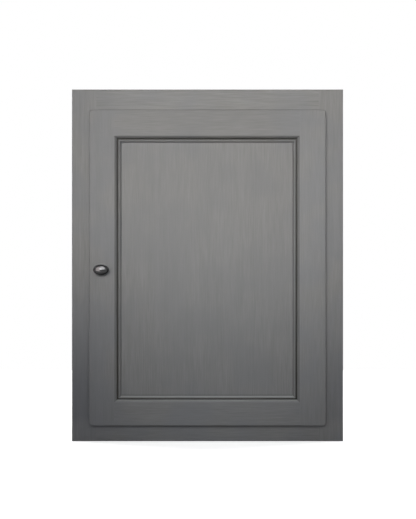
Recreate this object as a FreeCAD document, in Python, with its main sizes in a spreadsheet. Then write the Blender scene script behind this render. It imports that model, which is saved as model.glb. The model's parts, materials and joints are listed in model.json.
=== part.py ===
"""A painted wall cupboard: a face-framed case with two shelves and one panelled door.

Millimetres. +X is to the right, +Y to the back and +Z up. The origin is on the floor plane under the
middle of the whole cupboard, knob included.
"""
import FreeCAD, Part
import os
import Sketcher
from FreeCAD import Placement, Rotation, Vector

# Driving sizes

SIZES = {
    # Case
    "case_width": 555,
    "case_height": 720,
    "case_depth": 300,
    "board_thick": 18,
    "housing_depth": 7,
    "back_thick": 6,
    "back_rebate": 9,
    "back_play": 1,
    "nail_radius": 0.9,
    "nail_length": 22,
    "nail_head_radius": 2.4,
    "nail_head_thick": 1,
    "nail_end": 75,
    "nail_count": 5,
    # Rails that carry the cupboard on the wall
    "hanging_rail_height": 70,
    "hanging_rail_thick": 18,
    "wall_hole_radius": 3,
    "wall_hole_spacing": 400,
    # Face frame
    "frame_thick": 20,
    "frame_overhang": 3,
    "frame_stile_width": 50,
    "frame_top_width": 56,
    "frame_bottom_width": 47,
    "frame_edge_round": 2,
    "tenon_thick": 7,
    "tenon_length": 25,
    "tenon_shoulder": 8,
    "mortise_play": 1,
    # Shelves and their pins
    "shelf_setback": 25,
    "shelf_play": 2.5,
    "shelf_edge_round": 4,
    "pin_radius": 2.5,
    "pin_fit": 0.1,
    "pin_hole_depth": 11,
    "pin_pitch": 32,
    "pin_row_margin": 110,
    "pin_row_inset": 40,
    "pin_steps_from_end": 3,
    "pin_collar_radius": 4.5,
    "pin_collar_thick": 1.5,
    "pin_rest_length": 9,
    # Door
    "door_overlay": 13,
    "door_gap": 2.5,
    "door_thick": 18,
    "door_stile_left_width": 51,
    "door_stile_right_width": 53,
    "door_rail_top_width": 53,
    "door_rail_bottom_width": 47,
    "door_edge_round": 2,
    "door_corner_round": 7,
    "door_back_round": 3,
    "panel_thick": 6,
    "panel_recess": 8,
    "panel_play": 1,
    "groove_depth": 10,
    # Moulding round the panel
    "moulding_lip": 0.6,
    "ovolo_step": 0.6,
    "ovolo_width": 5.4,
    "ovolo_drop": 4.8,
    "ovolo_flatness": 1.1,
    "quirk_width": 3,
    "quirk_floor": 0.8,
    "bead_width": 5.6,
    "bead_drop": 3.8,
    "bead_flatness": 0.8,
    "bead_foot": 0.6,
    # Knob
    "knob_width": 32,
    "knob_height": 22,
    "knob_projection": 25,
    "knob_crown": 8.5,
    "knob_rim": 1.6,
    "knob_foot_width": 15,
    "knob_foot_height": 12,
    "knob_foot_thick": 2.5,
    "knob_neck_width": 10,
    "knob_neck_height": 8.5,
    "knob_inset": 25,
    "knob_drop": 4,
    "knob_screw_radius": 2,
    "knob_screw_reach": 12,
    "knob_screw_head_radius": 4,
    "knob_screw_head_thick": 2.4,
    # Concealed hinges
    "hinge_end": 85,
    "pivot_inset": 7.8,
    "pivot_depth": 8,
    "cup_edge": 3,
    "cup_radius": 17.5,
    "cup_depth": 13,
    "cup_wall": 1,
    "cup_flange_width": 28,
    "cup_flange_height": 62,
    "cup_flange_thick": 1.2,
    "cup_flange_round": 8,
    "cup_screw_spacing": 48,
    "cheek_thick": 3,
    "cheek_gap": 0.3,
    "cheek_reach": 4.5,
    "cheek_rise": 3,
    "hinge_pin_radius": 1.5,
    "hinge_pin_fit": 0.05,
    "knuckle_radius": 2.6,
    "arm_width": 10,
    "arm_thick": 2,
    "arm_neck": 8,
    "arm_step": 3,
    "arm_foot": 18,
    "arm_bend": 2.5,
    "plate_thick": 2.5,
    "plate_height": 48,
    "plate_margin": 1,
    "plate_round": 3,
    "plate_screw_spacing": 34,
    "arm_screw_radius": 2,
    "arm_screw_head_radius": 3.6,
    "arm_screw_head_thick": 2.2,
    # Magnetic catch
    "catch_rise": 120,
    "catch_width": 14,
    "catch_depth": 22,
    "catch_height": 28,
    "catch_setback": 2,
    "catch_ear_thick": 2.5,
    "catch_ear_depth": 14,
    "catch_ear_height": 50,
    "catch_screw_spacing": 38,
    "magnet_width": 8,
    "magnet_height": 20,
    "magnet_length": 14,
    "strike_thick": 1.5,
    "strike_width": 13,
    "strike_height": 36,
    "strike_screw_spacing": 27,
    "strike_gap": 0.3,
    # Pan-headed wood screws, in a pilot hole with a little room round the shank
    "screw_radius": 1.6,
    "screw_head_radius": 3,
    "screw_head_thick": 1.8,
    "screw_length": 13,
    "screw_point": 3,
    "screw_fit": 0.1,
    # Bumpers
    "bumper_radius": 4.5,
    "bumper_top_radius": 3.2,
    "bumper_inset": 6.5,
    "bumper_end": 20,
    "bumper_play": 0.3,
}

# Places and lengths that follow from the driving sizes

LAYOUT = {
    "half_width": "dims.case_width / 2",
    "inner_half": "layout.half_width - dims.frame_overhang - dims.board_thick",
    "carcass_depth": "dims.case_depth - dims.frame_thick",
    "board_depth": "layout.carcass_depth - dims.back_thick",
    "back_y": "(dims.case_depth + dims.door_gap + dims.door_thick + dims.knob_projection) / 2",
    "frame_y": "layout.back_y - dims.case_depth",
    "carcass_y": "layout.frame_y + dims.frame_thick",
    "back_panel_y": "layout.back_y - dims.back_thick",
    "door_back_y": "layout.frame_y - dims.door_gap",
    "door_front_y": "layout.door_back_y - dims.door_thick",
    "opening_half": "layout.half_width - dims.frame_stile_width",
    "opening_height": "dims.case_height - dims.frame_top_width - dims.frame_bottom_width",
    "floor_z": "dims.frame_bottom_width",
    "ceiling_z": "dims.case_height - dims.board_thick",
    "low_hole_z": "layout.floor_z + dims.hanging_rail_height / 2",
    "high_hole_z": "layout.ceiling_z - dims.hanging_rail_height / 2",
    "nail_x": "layout.inner_half + dims.back_rebate / 2",
    "nail_pitch": "(dims.case_height - 2 * dims.nail_end) / (dims.nail_count - 1)",
    "pin_first_z": "layout.floor_z + dims.pin_row_margin",
    "pin_count": "floor((layout.ceiling_z - layout.floor_z - 2 * dims.pin_row_margin)"
                 " / dims.pin_pitch) + 1",
    "lower_shelf_z": "layout.pin_first_z + dims.pin_steps_from_end * dims.pin_pitch",
    "upper_shelf_z": "layout.pin_first_z + (layout.pin_count - 1 - dims.pin_steps_from_end)"
                     " * dims.pin_pitch",
    "shelf_depth": "layout.board_depth - dims.hanging_rail_thick - dims.shelf_setback",
    "pin_back_inset": "layout.board_depth - dims.hanging_rail_thick - dims.pin_row_inset",
    "door_half": "layout.opening_half + dims.door_overlay",
    "door_low": "dims.frame_bottom_width - dims.door_overlay",
    "door_height": "layout.opening_height + 2 * dims.door_overlay",
    "panel_left": "dims.door_stile_left_width - layout.door_half",
    "panel_right": "layout.door_half - dims.door_stile_right_width",
    "panel_width": "layout.panel_right - layout.panel_left",
    "panel_low": "layout.door_low + dims.door_rail_bottom_width",
    "panel_height": "layout.door_height - dims.door_rail_bottom_width - dims.door_rail_top_width",
    "moulding_width": "dims.moulding_lip + dims.ovolo_width + dims.quirk_width + dims.bead_width",
    "knob_x": "dims.knob_inset - layout.door_half",
    "knob_z": "layout.door_low + layout.door_height / 2 - dims.knob_drop",
    "pivot_x": "layout.door_half - dims.pivot_inset",
    "pivot_y": "layout.door_back_y - dims.pivot_depth",
    "cup_x": "layout.door_half - dims.cup_edge - dims.cup_radius",
    "cup_pivot": "layout.pivot_x - layout.cup_x",
    "plate_depth": "dims.frame_thick - 2 * dims.plate_margin",
    "catch_z": "layout.knob_z + dims.catch_rise",
    "strike_x": "dims.catch_width / 2 - layout.opening_half",
    "magnet_stand": "dims.door_gap - dims.strike_thick - dims.strike_gap",
}

doc = FreeCAD.newDocument("wall_cupboard")

sheet = doc.addObject("Spreadsheet::Sheet", "dims")
for row, (alias, size) in enumerate(SIZES.items(), start=1):
    sheet.set(f"A{row}", alias)
    sheet.set(f"B{row}", str(size))
    sheet.setAlias(f"B{row}", alias)
doc.recompute()

layout = doc.addObject("App::VarSet", "layout")
for alias, formula in LAYOUT.items():
    layout.addProperty("App::PropertyFloat", alias)
    layout.setExpression(alias, formula)
    doc.recompute()

nodes = []

# Directions in which a screw, modelled with its tip at -Z, is driven

DRIVEN_RIGHT = Rotation(Vector(0, 1, 0), -90)
DRIVEN_LEFT = Rotation(Vector(0, 1, 0), 90)
DRIVEN_FORWARD = Rotation(Vector(1, 0, 0), -90)

NEGLIGIBLE = 1e-6
SAME_PLACE = 1e-4


# Sketches

def value(formula):
    """The present value of a formula, in millimetres."""
    return float(layout.evalExpression(formula))


def new_body(label):
    body = doc.addObject("PartDesign::Body", label)
    body.Label = label
    return body


def new_sketch(body, plane, start):
    """A sketch square to one of the body's axes, at the place start along that axis."""
    sketch = body.newObject("Sketcher::SketchObject", f"{body.Name}_sketch")
    origin_plane = next(f for f in body.Origin.OriginFeatures if f.Role == f"{plane}_Plane")
    sketch.AttachmentSupport = (origin_plane, [""])
    sketch.MapMode = "FlatFace"
    offset = f"-({start})" if plane == "XZ" else start
    sketch.setExpression("AttachmentOffset.Base.z", offset)
    return sketch


def hold_point(sketch, curve, end, x, y):
    """Ties one point of a sketch's curve to two formulas."""
    for kind, axis, formula in (("DistanceX", -2, x), ("DistanceY", -1, y)):
        size = value(formula)
        if abs(size) < NEGLIGIBLE:
            sketch.addConstraint(Sketcher.Constraint("PointOnObject", curve, end, axis))
        else:
            held = sketch.addConstraint(Sketcher.Constraint(kind, curve, end, size))
            sketch.setExpression(f"Constraints[{held}]", formula)


def outline(sketch, points, domes=None):
    """A closed outline through points. A side named in domes is a clockwise arc about a centre."""
    domes = domes or {}
    spots = [Vector(value(x), value(y), 0) for x, y in points]
    starts, ends = [], []
    for side, (here, there) in enumerate(zip(spots, spots[1:] + spots[:1])):
        if side in domes:
            centre = Vector(value(domes[side][0]), value(domes[side][1]), 0)
            circle = Part.Circle(centre, Vector(0, 0, 1), (here - centre).Length)
            sketch.addGeometry(Part.ArcOfCircle(circle, circle.parameter(there), circle.parameter(here)))
        else:
            sketch.addGeometry(Part.LineSegment(here, there))
        starts.append((side, 2 if side in domes else 1))
        ends.append((side, 1 if side in domes else 2))
    for side, (x, y) in enumerate(points):
        sketch.addConstraint(Sketcher.Constraint("Coincident", *ends[side - 1], *starts[side]))
        hold_point(sketch, *starts[side], x, y)
    for side, (_, height) in domes.items():
        held = sketch.addConstraint(Sketcher.Constraint("DistanceY", side, 3, value(height)))
        sketch.setExpression(f"Constraints[{held}]", height)


def rectangle(x, y, wide, high):
    """The corners of a rectangle, for an outline."""
    return [(x, y), (f"{x} + {wide}", y), (f"{x} + {wide}", f"{y} + {high}"), (x, f"{y} + {high}")]


def circles(sketch, centres, radius):
    for x, y in centres:
        disc = Part.Circle(Vector(value(x), value(y), 0), Vector(0, 0, 1), value(radius))
        curve = sketch.addGeometry(disc)
        hold_point(sketch, curve, 3, x, y)
        held = sketch.addConstraint(Sketcher.Constraint("Radius", curve, value(radius)))
        sketch.setExpression(f"Constraints[{held}]", radius)


# Features

def pad(body, sketch, plane, length):
    """Raises a sketch along +X, +Y or +Z."""
    feature = body.newObject("PartDesign::Pad", f"{body.Name}_pad")
    feature.Profile = sketch
    feature.Reversed = plane == "XZ"
    feature.setExpression("Length", length)
    doc.recompute()
    return feature


def cut(body, sketch, plane, length):
    """Cuts a sketch along +X, +Y or +Z, and makes sure that something was cut."""
    before = body.Shape.Volume
    feature = body.newObject("PartDesign::Pocket", f"{body.Name}_cut")
    feature.Profile = sketch
    feature.Reversed = plane != "XZ"
    feature.setExpression("Length", length)
    doc.recompute()
    if body.Shape.Volume > before - NEGLIGIBLE:
        raise RuntimeError(f"a cut in {body.Label} misses it")
    return feature


def pad_outline(body, plane, start, length, points, domes=None):
    sketch = new_sketch(body, plane, start)
    outline(sketch, points, domes)
    return pad(body, sketch, plane, length)


def cut_outline(body, plane, start, length, points):
    sketch = new_sketch(body, plane, start)
    outline(sketch, points)
    return cut(body, sketch, plane, length)


def pad_circles(body, plane, start, length, centres, radius):
    sketch = new_sketch(body, plane, start)
    circles(sketch, centres, radius)
    return pad(body, sketch, plane, length)


def cut_circles(body, plane, start, length, centres, radius):
    sketch = new_sketch(body, plane, start)
    circles(sketch, centres, radius)
    return cut(body, sketch, plane, length)


def repeat_up(body, feature, pitch, count):
    """Repeats a feature upwards along the body's Z axis."""
    axis = next(f for f in body.Origin.OriginFeatures if f.Role == "Z_Axis")
    pattern = body.newObject("PartDesign::LinearPattern", f"{body.Name}_row")
    pattern.Originals = [feature]
    pattern.Direction = (axis, [""])
    pattern.setExpression("Length", f"{pitch} * ({count} - 1)")
    pattern.setExpression("Occurrences", count)
    body.Tip = pattern
    doc.recompute()


def round_edges(body, radius, chosen):
    """Rounds the edges whose every sample point passes the test chosen(x, y, z)."""
    base = body.Tip
    names = []
    for number, edge in enumerate(base.Shape.Edges, start=1):
        first, last = edge.ParameterRange
        samples = [edge.valueAt(first + (last - first) * share) for share in (0, 0.5, 1)]
        if all(chosen(*point) for point in samples):
            names.append(f"Edge{number}")
    if not names:
        raise RuntimeError(f"{body.Label} has no edge to round")
    feature = body.newObject("PartDesign::Fillet", f"{body.Name}_round")
    feature.Base = (base, names)
    feature.setExpression("Radius", radius)
    doc.recompute()


def same(one, other):
    return abs(one - other) < SAME_PLACE


def turned(label, points):
    """A body turned about Z from a half section of radius and height."""
    body = new_body(label)
    sketch = new_sketch(body, "XZ", "0")
    outline(sketch, points)
    feature = body.newObject("PartDesign::Revolution", f"{body.Name}_turn")
    feature.Profile = sketch
    feature.ReferenceAxis = (sketch, ["V_Axis"])
    feature.Angle = 360
    doc.recompute()
    return body


def place(thing, x, y, z, rotation=None):
    thing.Placement = Placement(Vector(), rotation or Rotation())
    for axis, formula in zip("xyz", (x, y, z)):
        thing.setExpression(f"Placement.Base.{axis}", formula)


def finish(thing):
    """Counts a body among the finished pieces."""
    nodes.append(thing)
    return thing


def group(label, members):
    """Like pieces that share one name."""
    gathered = doc.addObject("Part::Compound", label)
    gathered.Label = label
    gathered.Links = members
    return finish(gathered)


def board(label, x, y, z, wide, deep, high):
    """A straight board, its lower left front corner at x, y, z."""
    body = new_body(label)
    pad_outline(body, "XY", "0", high, rectangle("0", "0", wide, deep))
    place(body, x, y, z)
    return finish(body)


# Case

def side_panel(label, x, is_left):
    """A side, rebated for the back, housed for the top and bottom, and bored for shelf pins."""
    def inward(depth):
        return f"dims.board_thick - {depth}" if is_left else depth

    def start(depth):
        return f"dims.board_thick - {depth}" if is_left else "0"

    def strip(depth):
        return rectangle(start(depth), "0", depth, "layout.board_depth")

    body = new_body(label)
    pad_outline(body, "XY", "0", "dims.case_height", [
        (inward("0"), "0"),
        (inward("dims.board_thick"), "0"),
        (inward("dims.board_thick"), "layout.carcass_depth"),
        (inward("dims.back_rebate"), "layout.carcass_depth"),
        (inward("dims.back_rebate"), "layout.board_depth"),
        (inward("0"), "layout.board_depth"),
    ])
    housing = strip("dims.housing_depth")
    cut_outline(body, "XY", "layout.ceiling_z", "dims.board_thick", housing)
    cut_outline(body, "XY", "layout.floor_z - dims.board_thick", "dims.board_thick", housing)
    nail_depth = "dims.nail_length - dims.back_thick"
    nail = cut_circles(body, "XZ", f"layout.board_depth - ({nail_depth})", nail_depth,
                       [(inward("dims.back_rebate / 2"), "dims.nail_end")],
                       "dims.nail_radius + dims.screw_fit")
    repeat_up(body, nail, "layout.nail_pitch", "dims.nail_count")
    rows = [("dims.pin_row_inset", "layout.pin_first_z"), ("layout.pin_back_inset", "layout.pin_first_z")]
    holes = cut_circles(body, "YZ", start("dims.pin_hole_depth"), "dims.pin_hole_depth", rows,
                        "dims.pin_radius + dims.pin_fit")
    repeat_up(body, holes, "dims.pin_pitch", "layout.pin_count")
    place(body, x, "layout.carcass_y", "0")
    finish(body)


def case_boards():
    """The boards between the sides."""
    housed = "2 * (layout.inner_half + dims.housing_depth)"
    housed_left = "-(layout.inner_half + dims.housing_depth)"
    board("top_panel", housed_left, "layout.carcass_y", "layout.ceiling_z",
          housed, "layout.board_depth", "dims.board_thick")
    board("bottom_panel", housed_left, "layout.carcass_y", "layout.floor_z - dims.board_thick",
          housed, "layout.board_depth", "dims.board_thick")
    wall_holes = ["dims.wall_hole_spacing / 2", "-dims.wall_hole_spacing / 2"]

    half_back = "(layout.inner_half + dims.back_rebate - dims.back_play)"
    back = board("back_panel", f"-{half_back}", "layout.back_panel_y", "0",
                 f"2 * {half_back}", "dims.back_thick", "dims.case_height")
    centres = [(f"{half_back} + {x}", z) for x in wall_holes
               for z in ("layout.low_hole_z", "layout.high_hole_z")]
    cut_circles(back, "XZ", "0", "dims.back_thick", centres, "dims.wall_hole_radius")
    nail_sides = [f"{half_back} - layout.nail_x", f"{half_back} + layout.nail_x"]
    shanks = cut_circles(back, "XZ", "0", "dims.back_thick",
                         [(x, "dims.nail_end") for x in nail_sides],
                         "dims.nail_radius + dims.screw_fit")
    repeat_up(back, shanks, "layout.nail_pitch", "dims.nail_count")
    heads = cut_circles(back, "XZ", "dims.back_thick - dims.nail_head_thick", "dims.nail_head_thick",
                        [(x, "dims.nail_end") for x in nail_sides],
                        "dims.nail_head_radius + dims.screw_fit")
    repeat_up(back, heads, "layout.nail_pitch", "dims.nail_count")

    for label, low, hole in (
        ("hanging_rail_lower", "layout.floor_z", "layout.low_hole_z"),
        ("hanging_rail_upper", "layout.ceiling_z - dims.hanging_rail_height", "layout.high_hole_z"),
    ):
        rail = board(label, "-layout.inner_half", "layout.back_panel_y - dims.hanging_rail_thick", low,
                     "2 * layout.inner_half", "dims.hanging_rail_thick", "dims.hanging_rail_height")
        cut_circles(rail, "XZ", "0", "dims.hanging_rail_thick",
                    [(f"layout.inner_half + {x}", f"{hole} - ({low})") for x in wall_holes],
                    "dims.wall_hole_radius")


def back_panel_nails():
    """Flush-headed nails through the back panel into the sides."""
    nails = []
    for x in ("-layout.nail_x", "layout.nail_x"):
        for step in range(round(value("dims.nail_count"))):
            nail = turned(f"nail_{len(nails)}", [
                ("0", "0"),
                ("dims.nail_head_radius", "0"),
                ("dims.nail_head_radius", "-dims.nail_head_thick"),
                ("dims.nail_radius", "-dims.nail_head_thick"),
                ("dims.nail_radius", "-dims.nail_length"),
                ("0", "-dims.nail_length"),
            ])
            place(nail, x, "layout.back_y", f"dims.nail_end + {step} * layout.nail_pitch", DRIVEN_FORWARD)
            nails.append(nail)
    group("back_panel_nails", nails)


# Face frame

def rail_levels():
    """The lower edge and the width of each rail of the face frame."""
    return (
        ("frame_rail_bottom", "0", "dims.frame_bottom_width"),
        ("frame_rail_top", "dims.case_height - dims.frame_top_width", "dims.frame_top_width"),
    )


def tenon_outline(low, width):
    """The section of a rail's tenon, in depth and height."""
    return rectangle("(dims.frame_thick - dims.tenon_thick) / 2", f"{low} + dims.tenon_shoulder",
                     "dims.tenon_thick", f"{width} - 2 * dims.tenon_shoulder")


def frame_stile(label, is_left):
    """A full-height stile, mortised for the rails, with its outer front edges eased."""
    body = new_body(label)
    wide = value("dims.frame_stile_width")
    outer = 0 if is_left else wide
    pad_outline(body, "XY", "0", "dims.case_height",
                rectangle("0", "0", "dims.frame_stile_width", "dims.frame_thick"))
    round_edges(body, "dims.frame_edge_round",
                lambda x, y, z: same(y, 0) and (same(x, outer) or same(z, 0)
                                                or same(z, value("dims.case_height"))))
    start = "dims.frame_stile_width - dims.tenon_length" if is_left else "0"
    for _, low, width in rail_levels():
        cut_outline(body, "YZ", start, "dims.tenon_length", tenon_outline(low, width))
    return body


def frame_stiles():
    left = frame_stile("frame_stile_left", True)
    pilot = "dims.screw_length - dims.catch_ear_thick"
    middle = "dims.catch_setback + dims.catch_depth / 2"
    holes = [(middle, f"layout.catch_z {sign} dims.catch_screw_spacing / 2") for sign in "+-"]
    cut_circles(left, "YZ", f"dims.frame_stile_width - ({pilot})", pilot, holes,
                "dims.screw_radius + dims.screw_fit")
    place(left, "-layout.half_width", "layout.frame_y", "0")
    finish(left)

    right = frame_stile("frame_stile_right", False)
    pilot = "dims.screw_length - dims.plate_thick"
    holes = [("dims.frame_thick / 2", f"{level} {sign} dims.plate_screw_spacing / 2")
             for level in hinge_levels().values() for sign in "+-"]
    cut_circles(right, "YZ", "0", pilot, holes, "dims.screw_radius + dims.screw_fit")
    place(right, "layout.opening_half", "layout.frame_y", "0")
    finish(right)


def frame_rails():
    """The rails between the stiles, each with a tenon at both ends."""
    between = "2 * layout.opening_half"
    reach = "(dims.tenon_length - dims.mortise_play)"
    for label, low, width in rail_levels():
        rail = board(label, "-layout.opening_half", "layout.frame_y", low,
                     between, "dims.frame_thick", width)
        free_edge = 0 if label == "frame_rail_bottom" else value(width)
        round_edges(rail, "dims.frame_edge_round",
                    lambda x, y, z, edge=free_edge: same(y, 0) and same(z, edge))
        pad_outline(rail, "YZ", f"-{reach}", f"{between} + 2 * {reach}", tenon_outline("0", width))


# Shelves

def shelves():
    """Two loose shelves, each with its front edge rounded over."""
    for label, low in (("shelf_lower", "layout.lower_shelf_z"), ("shelf_upper", "layout.upper_shelf_z")):
        half = "(layout.inner_half - dims.shelf_play)"
        shelf = board(label, f"-{half}", "layout.carcass_y + dims.shelf_setback", low,
                      f"2 * {half}", "layout.shelf_depth", "dims.board_thick")
        round_edges(shelf, "dims.shelf_edge_round", lambda x, y, z: same(y, 0) and
                    (same(z, 0) or same(z, value("dims.board_thick"))))


def shelf_pin(label):
    """A pin whose shank goes in the side and whose flat-topped peg carries the shelf."""
    pin = turned(label, [
        ("0", "dims.pin_fit - dims.pin_hole_depth"),
        ("dims.pin_radius", "dims.pin_fit - dims.pin_hole_depth"),
        ("dims.pin_radius", "0"),
        ("dims.pin_collar_radius", "0"),
        ("dims.pin_collar_radius", "dims.pin_collar_thick + dims.pin_rest_length"),
        ("0", "dims.pin_collar_thick + dims.pin_rest_length"),
    ])
    cut_outline(pin, "XY", "dims.pin_collar_thick", "dims.pin_rest_length",
                rectangle("0", "-dims.pin_collar_radius", "dims.pin_collar_radius",
                          "2 * dims.pin_collar_radius"))
    return pin


def shelf_pins():
    """Four pins to a shelf, their flats uppermost."""
    pins = []
    for low in ("layout.lower_shelf_z", "layout.upper_shelf_z"):
        for inset in ("dims.pin_row_inset", "layout.pin_back_inset"):
            for side in (-1, 1):
                pin = shelf_pin(f"shelf_pin_{len(pins)}")
                axes = Rotation(Vector(0, 0, 1), Vector(0, side, 0), Vector(-side, 0, 0), "ZXY")
                place(pin, f"{side} * layout.inner_half", f"layout.carcass_y + {inset}", low, axes)
                pins.append(pin)
    group("shelf_pins", pins)


# Door

def round_door_edges(body, free):
    """Rounds over the door's outside, front and back, on the edges that pass the test free(x, z)."""
    back = value("dims.door_thick")
    round_edges(body, "dims.door_edge_round", lambda x, y, z: same(y, 0) and free(x, z))
    round_edges(body, "dims.door_back_round", lambda x, y, z: same(y, back) and free(x, z))


def door_stile(label, is_left):
    """A full-height stile, grooved along its inner edge, its outside corners rounded."""
    width = f"dims.{label}_width"
    wide, high = value(width), value("layout.door_height")
    outer, inner = (0, wide) if is_left else (wide, 0)
    body = new_body(label)
    pad_outline(body, "XY", "0", "layout.door_height", rectangle("0", "0", width, "dims.door_thick"))
    round_edges(body, "dims.door_corner_round",
                lambda x, y, z: same(x, outer) and (same(z, 0) or same(z, high)))
    round_door_edges(body, lambda x, z: not same(x, inner) or same(z, 0) or same(z, high))
    groove = rectangle(f"{width} - dims.groove_depth" if is_left else "0", "dims.panel_recess",
                       "dims.groove_depth", "dims.panel_thick")
    cut_outline(body, "XY", "0", "layout.door_height", groove)
    return body


def door_stiles():
    left = door_stile("door_stile_left", True)
    cut_circles(left, "XZ", "0", "dims.door_thick",
                [("dims.knob_inset", "layout.knob_z - layout.door_low")],
                "dims.knob_screw_radius + dims.screw_fit")
    pilot = "dims.screw_length - dims.strike_thick"
    cut_circles(left, "XZ", f"dims.door_thick - ({pilot})", pilot,
                [("layout.strike_x + layout.door_half",
                  f"layout.catch_z - layout.door_low {sign} dims.strike_screw_spacing / 2")
                 for sign in "+-"], "dims.screw_radius + dims.screw_fit")
    place(left, "-layout.door_half", "layout.door_front_y", "layout.door_low")
    finish(left)

    right = door_stile("door_stile_right", False)
    across = "dims.door_stile_right_width - dims.cup_edge - dims.cup_radius"
    levels = [f"{level} - layout.door_low" for level in hinge_levels().values()]
    depth = "dims.cup_depth + dims.screw_fit"
    cut_circles(right, "XZ", f"dims.door_thick - ({depth})", depth,
                [(across, level) for level in levels], "dims.cup_radius + dims.screw_fit")
    pilot = "dims.screw_length - dims.cup_flange_thick"
    cut_circles(right, "XZ", f"dims.door_thick - ({pilot})", pilot,
                [(across, f"{level} {sign} dims.cup_screw_spacing / 2") for level in levels
                 for sign in "+-"], "dims.screw_radius + dims.screw_fit")
    place(right, "layout.panel_right", "layout.door_front_y", "layout.door_low")
    finish(right)


def door_rails():
    """The rails between the stiles, grooved for the panel, with stub tenons in the stiles' grooves."""
    between = "layout.panel_width"
    reach = "(dims.groove_depth - dims.panel_play)"
    for label, low, is_top in (
        ("door_rail_bottom", "layout.door_low", False),
        ("door_rail_top", "layout.panel_low + layout.panel_height", True),
    ):
        high = f"dims.{label}_width"
        rail = board(label, "layout.panel_left", "layout.door_front_y", low,
                     between, "dims.door_thick", high)
        outer = value(high) if is_top else 0
        round_door_edges(rail, lambda x, z, edge=outer: same(z, edge))
        groove_low = "0" if is_top else f"{high} - dims.groove_depth"
        cut_outline(rail, "YZ", "0", between, rectangle("dims.panel_recess", groove_low,
                                                        "dims.panel_thick", "dims.groove_depth"))
        tenon_low = "dims.groove_depth" if is_top else "0"
        pad_outline(rail, "YZ", f"-{reach}", f"{between} + 2 * {reach}",
                    rectangle("dims.panel_recess", tenon_low, "dims.panel_thick",
                              f"{high} - dims.groove_depth"))


def door_panel():
    reach = "(dims.groove_depth - dims.panel_play)"
    board("door_panel", f"layout.panel_left - {reach}", "layout.door_front_y + dims.panel_recess",
          f"layout.panel_low - {reach}", f"layout.panel_width + 2 * {reach}", "dims.panel_thick",
          f"layout.panel_height + 2 * {reach}")


def hump_centre(x, y, wide, drop, flatness):
    """The centre of a round that falls from x, y across wide and down drop.

    It lies on the line square to the round's chord, through its middle. A flatness of a half makes a
    quarter circle where wide and drop are equal, and a larger one makes a flatter round.
    """
    return f"{x} + {wide} / 2 - {flatness} * {drop}", f"{y} - {drop} / 2 - {flatness} * {wide}"


def moulding(label, length, x, z, turn):
    """One strip of the moulding: its section is an ovolo, a quirk and a bead, its ends are mitred.

    Along X it runs beside the door's frame, +Y is towards the middle of the panel and +Z stands
    off the panel. Both rounds fall towards the panel.
    """
    crest = "dims.panel_recess"
    ovolo_top = f"{crest} - dims.ovolo_step"
    ovolo_end = "dims.moulding_lip + dims.ovolo_width"
    bead_near = f"{ovolo_end} + dims.quirk_width"
    bead_top = "dims.bead_foot + dims.bead_drop"
    width = "layout.moulding_width"
    body = new_body(label)
    pad_outline(body, "YZ", "0", length, [
        ("0", "0"),
        ("0", crest),
        ("dims.moulding_lip", crest),
        ("dims.moulding_lip", ovolo_top),
        (ovolo_end, f"{ovolo_top} - dims.ovolo_drop"),
        (ovolo_end, "dims.quirk_floor"),
        (bead_near, "dims.quirk_floor"),
        (bead_near, bead_top),
        (width, "dims.bead_foot"),
        (width, "0"),
    ], {
        3: hump_centre("dims.moulding_lip", ovolo_top, "dims.ovolo_width", "dims.ovolo_drop",
                       "dims.ovolo_flatness"),
        7: hump_centre(bead_near, bead_top, "dims.bead_width", "dims.bead_drop", "dims.bead_flatness"),
    })
    for end, inward in (("0", "+"), (length, "-")):
        cut_outline(body, "XY", "0", crest, [
            (end, "0"), (end, width), (f"{end} {inward} {width}", width)])
    upright = Rotation(Vector(0, 1, 0), turn).multiply(Rotation(Vector(1, 0, 0), 90))
    place(body, x, "layout.door_front_y + dims.panel_recess", z, upright)
    finish(body)


def mouldings():
    wide, high = "layout.panel_width", "layout.panel_height"
    left, right = "layout.panel_left", "layout.panel_right"
    low, top = "layout.panel_low", "layout.panel_low + layout.panel_height"
    moulding("panel_moulding_bottom", wide, left, low, 0)
    moulding("panel_moulding_right", high, right, low, -90)
    moulding("panel_moulding_top", wide, right, top, 180)
    moulding("panel_moulding_left", high, left, top, 90)


# Knob

def oval(label, wide, high, level):
    """An oval across the knob's axis, at a level above the door."""
    made = doc.addObject("Part::Ellipse", label)
    made.setExpression("MajorRadius", f"{wide} / 2")
    made.setExpression("MinorRadius", f"{high} / 2")
    made.setExpression("Placement.Base.z", level)
    return made


def loft(label, sections):
    made = doc.addObject("Part::Loft", label)
    made.Sections = sections
    made.Solid = True
    return made


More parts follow.
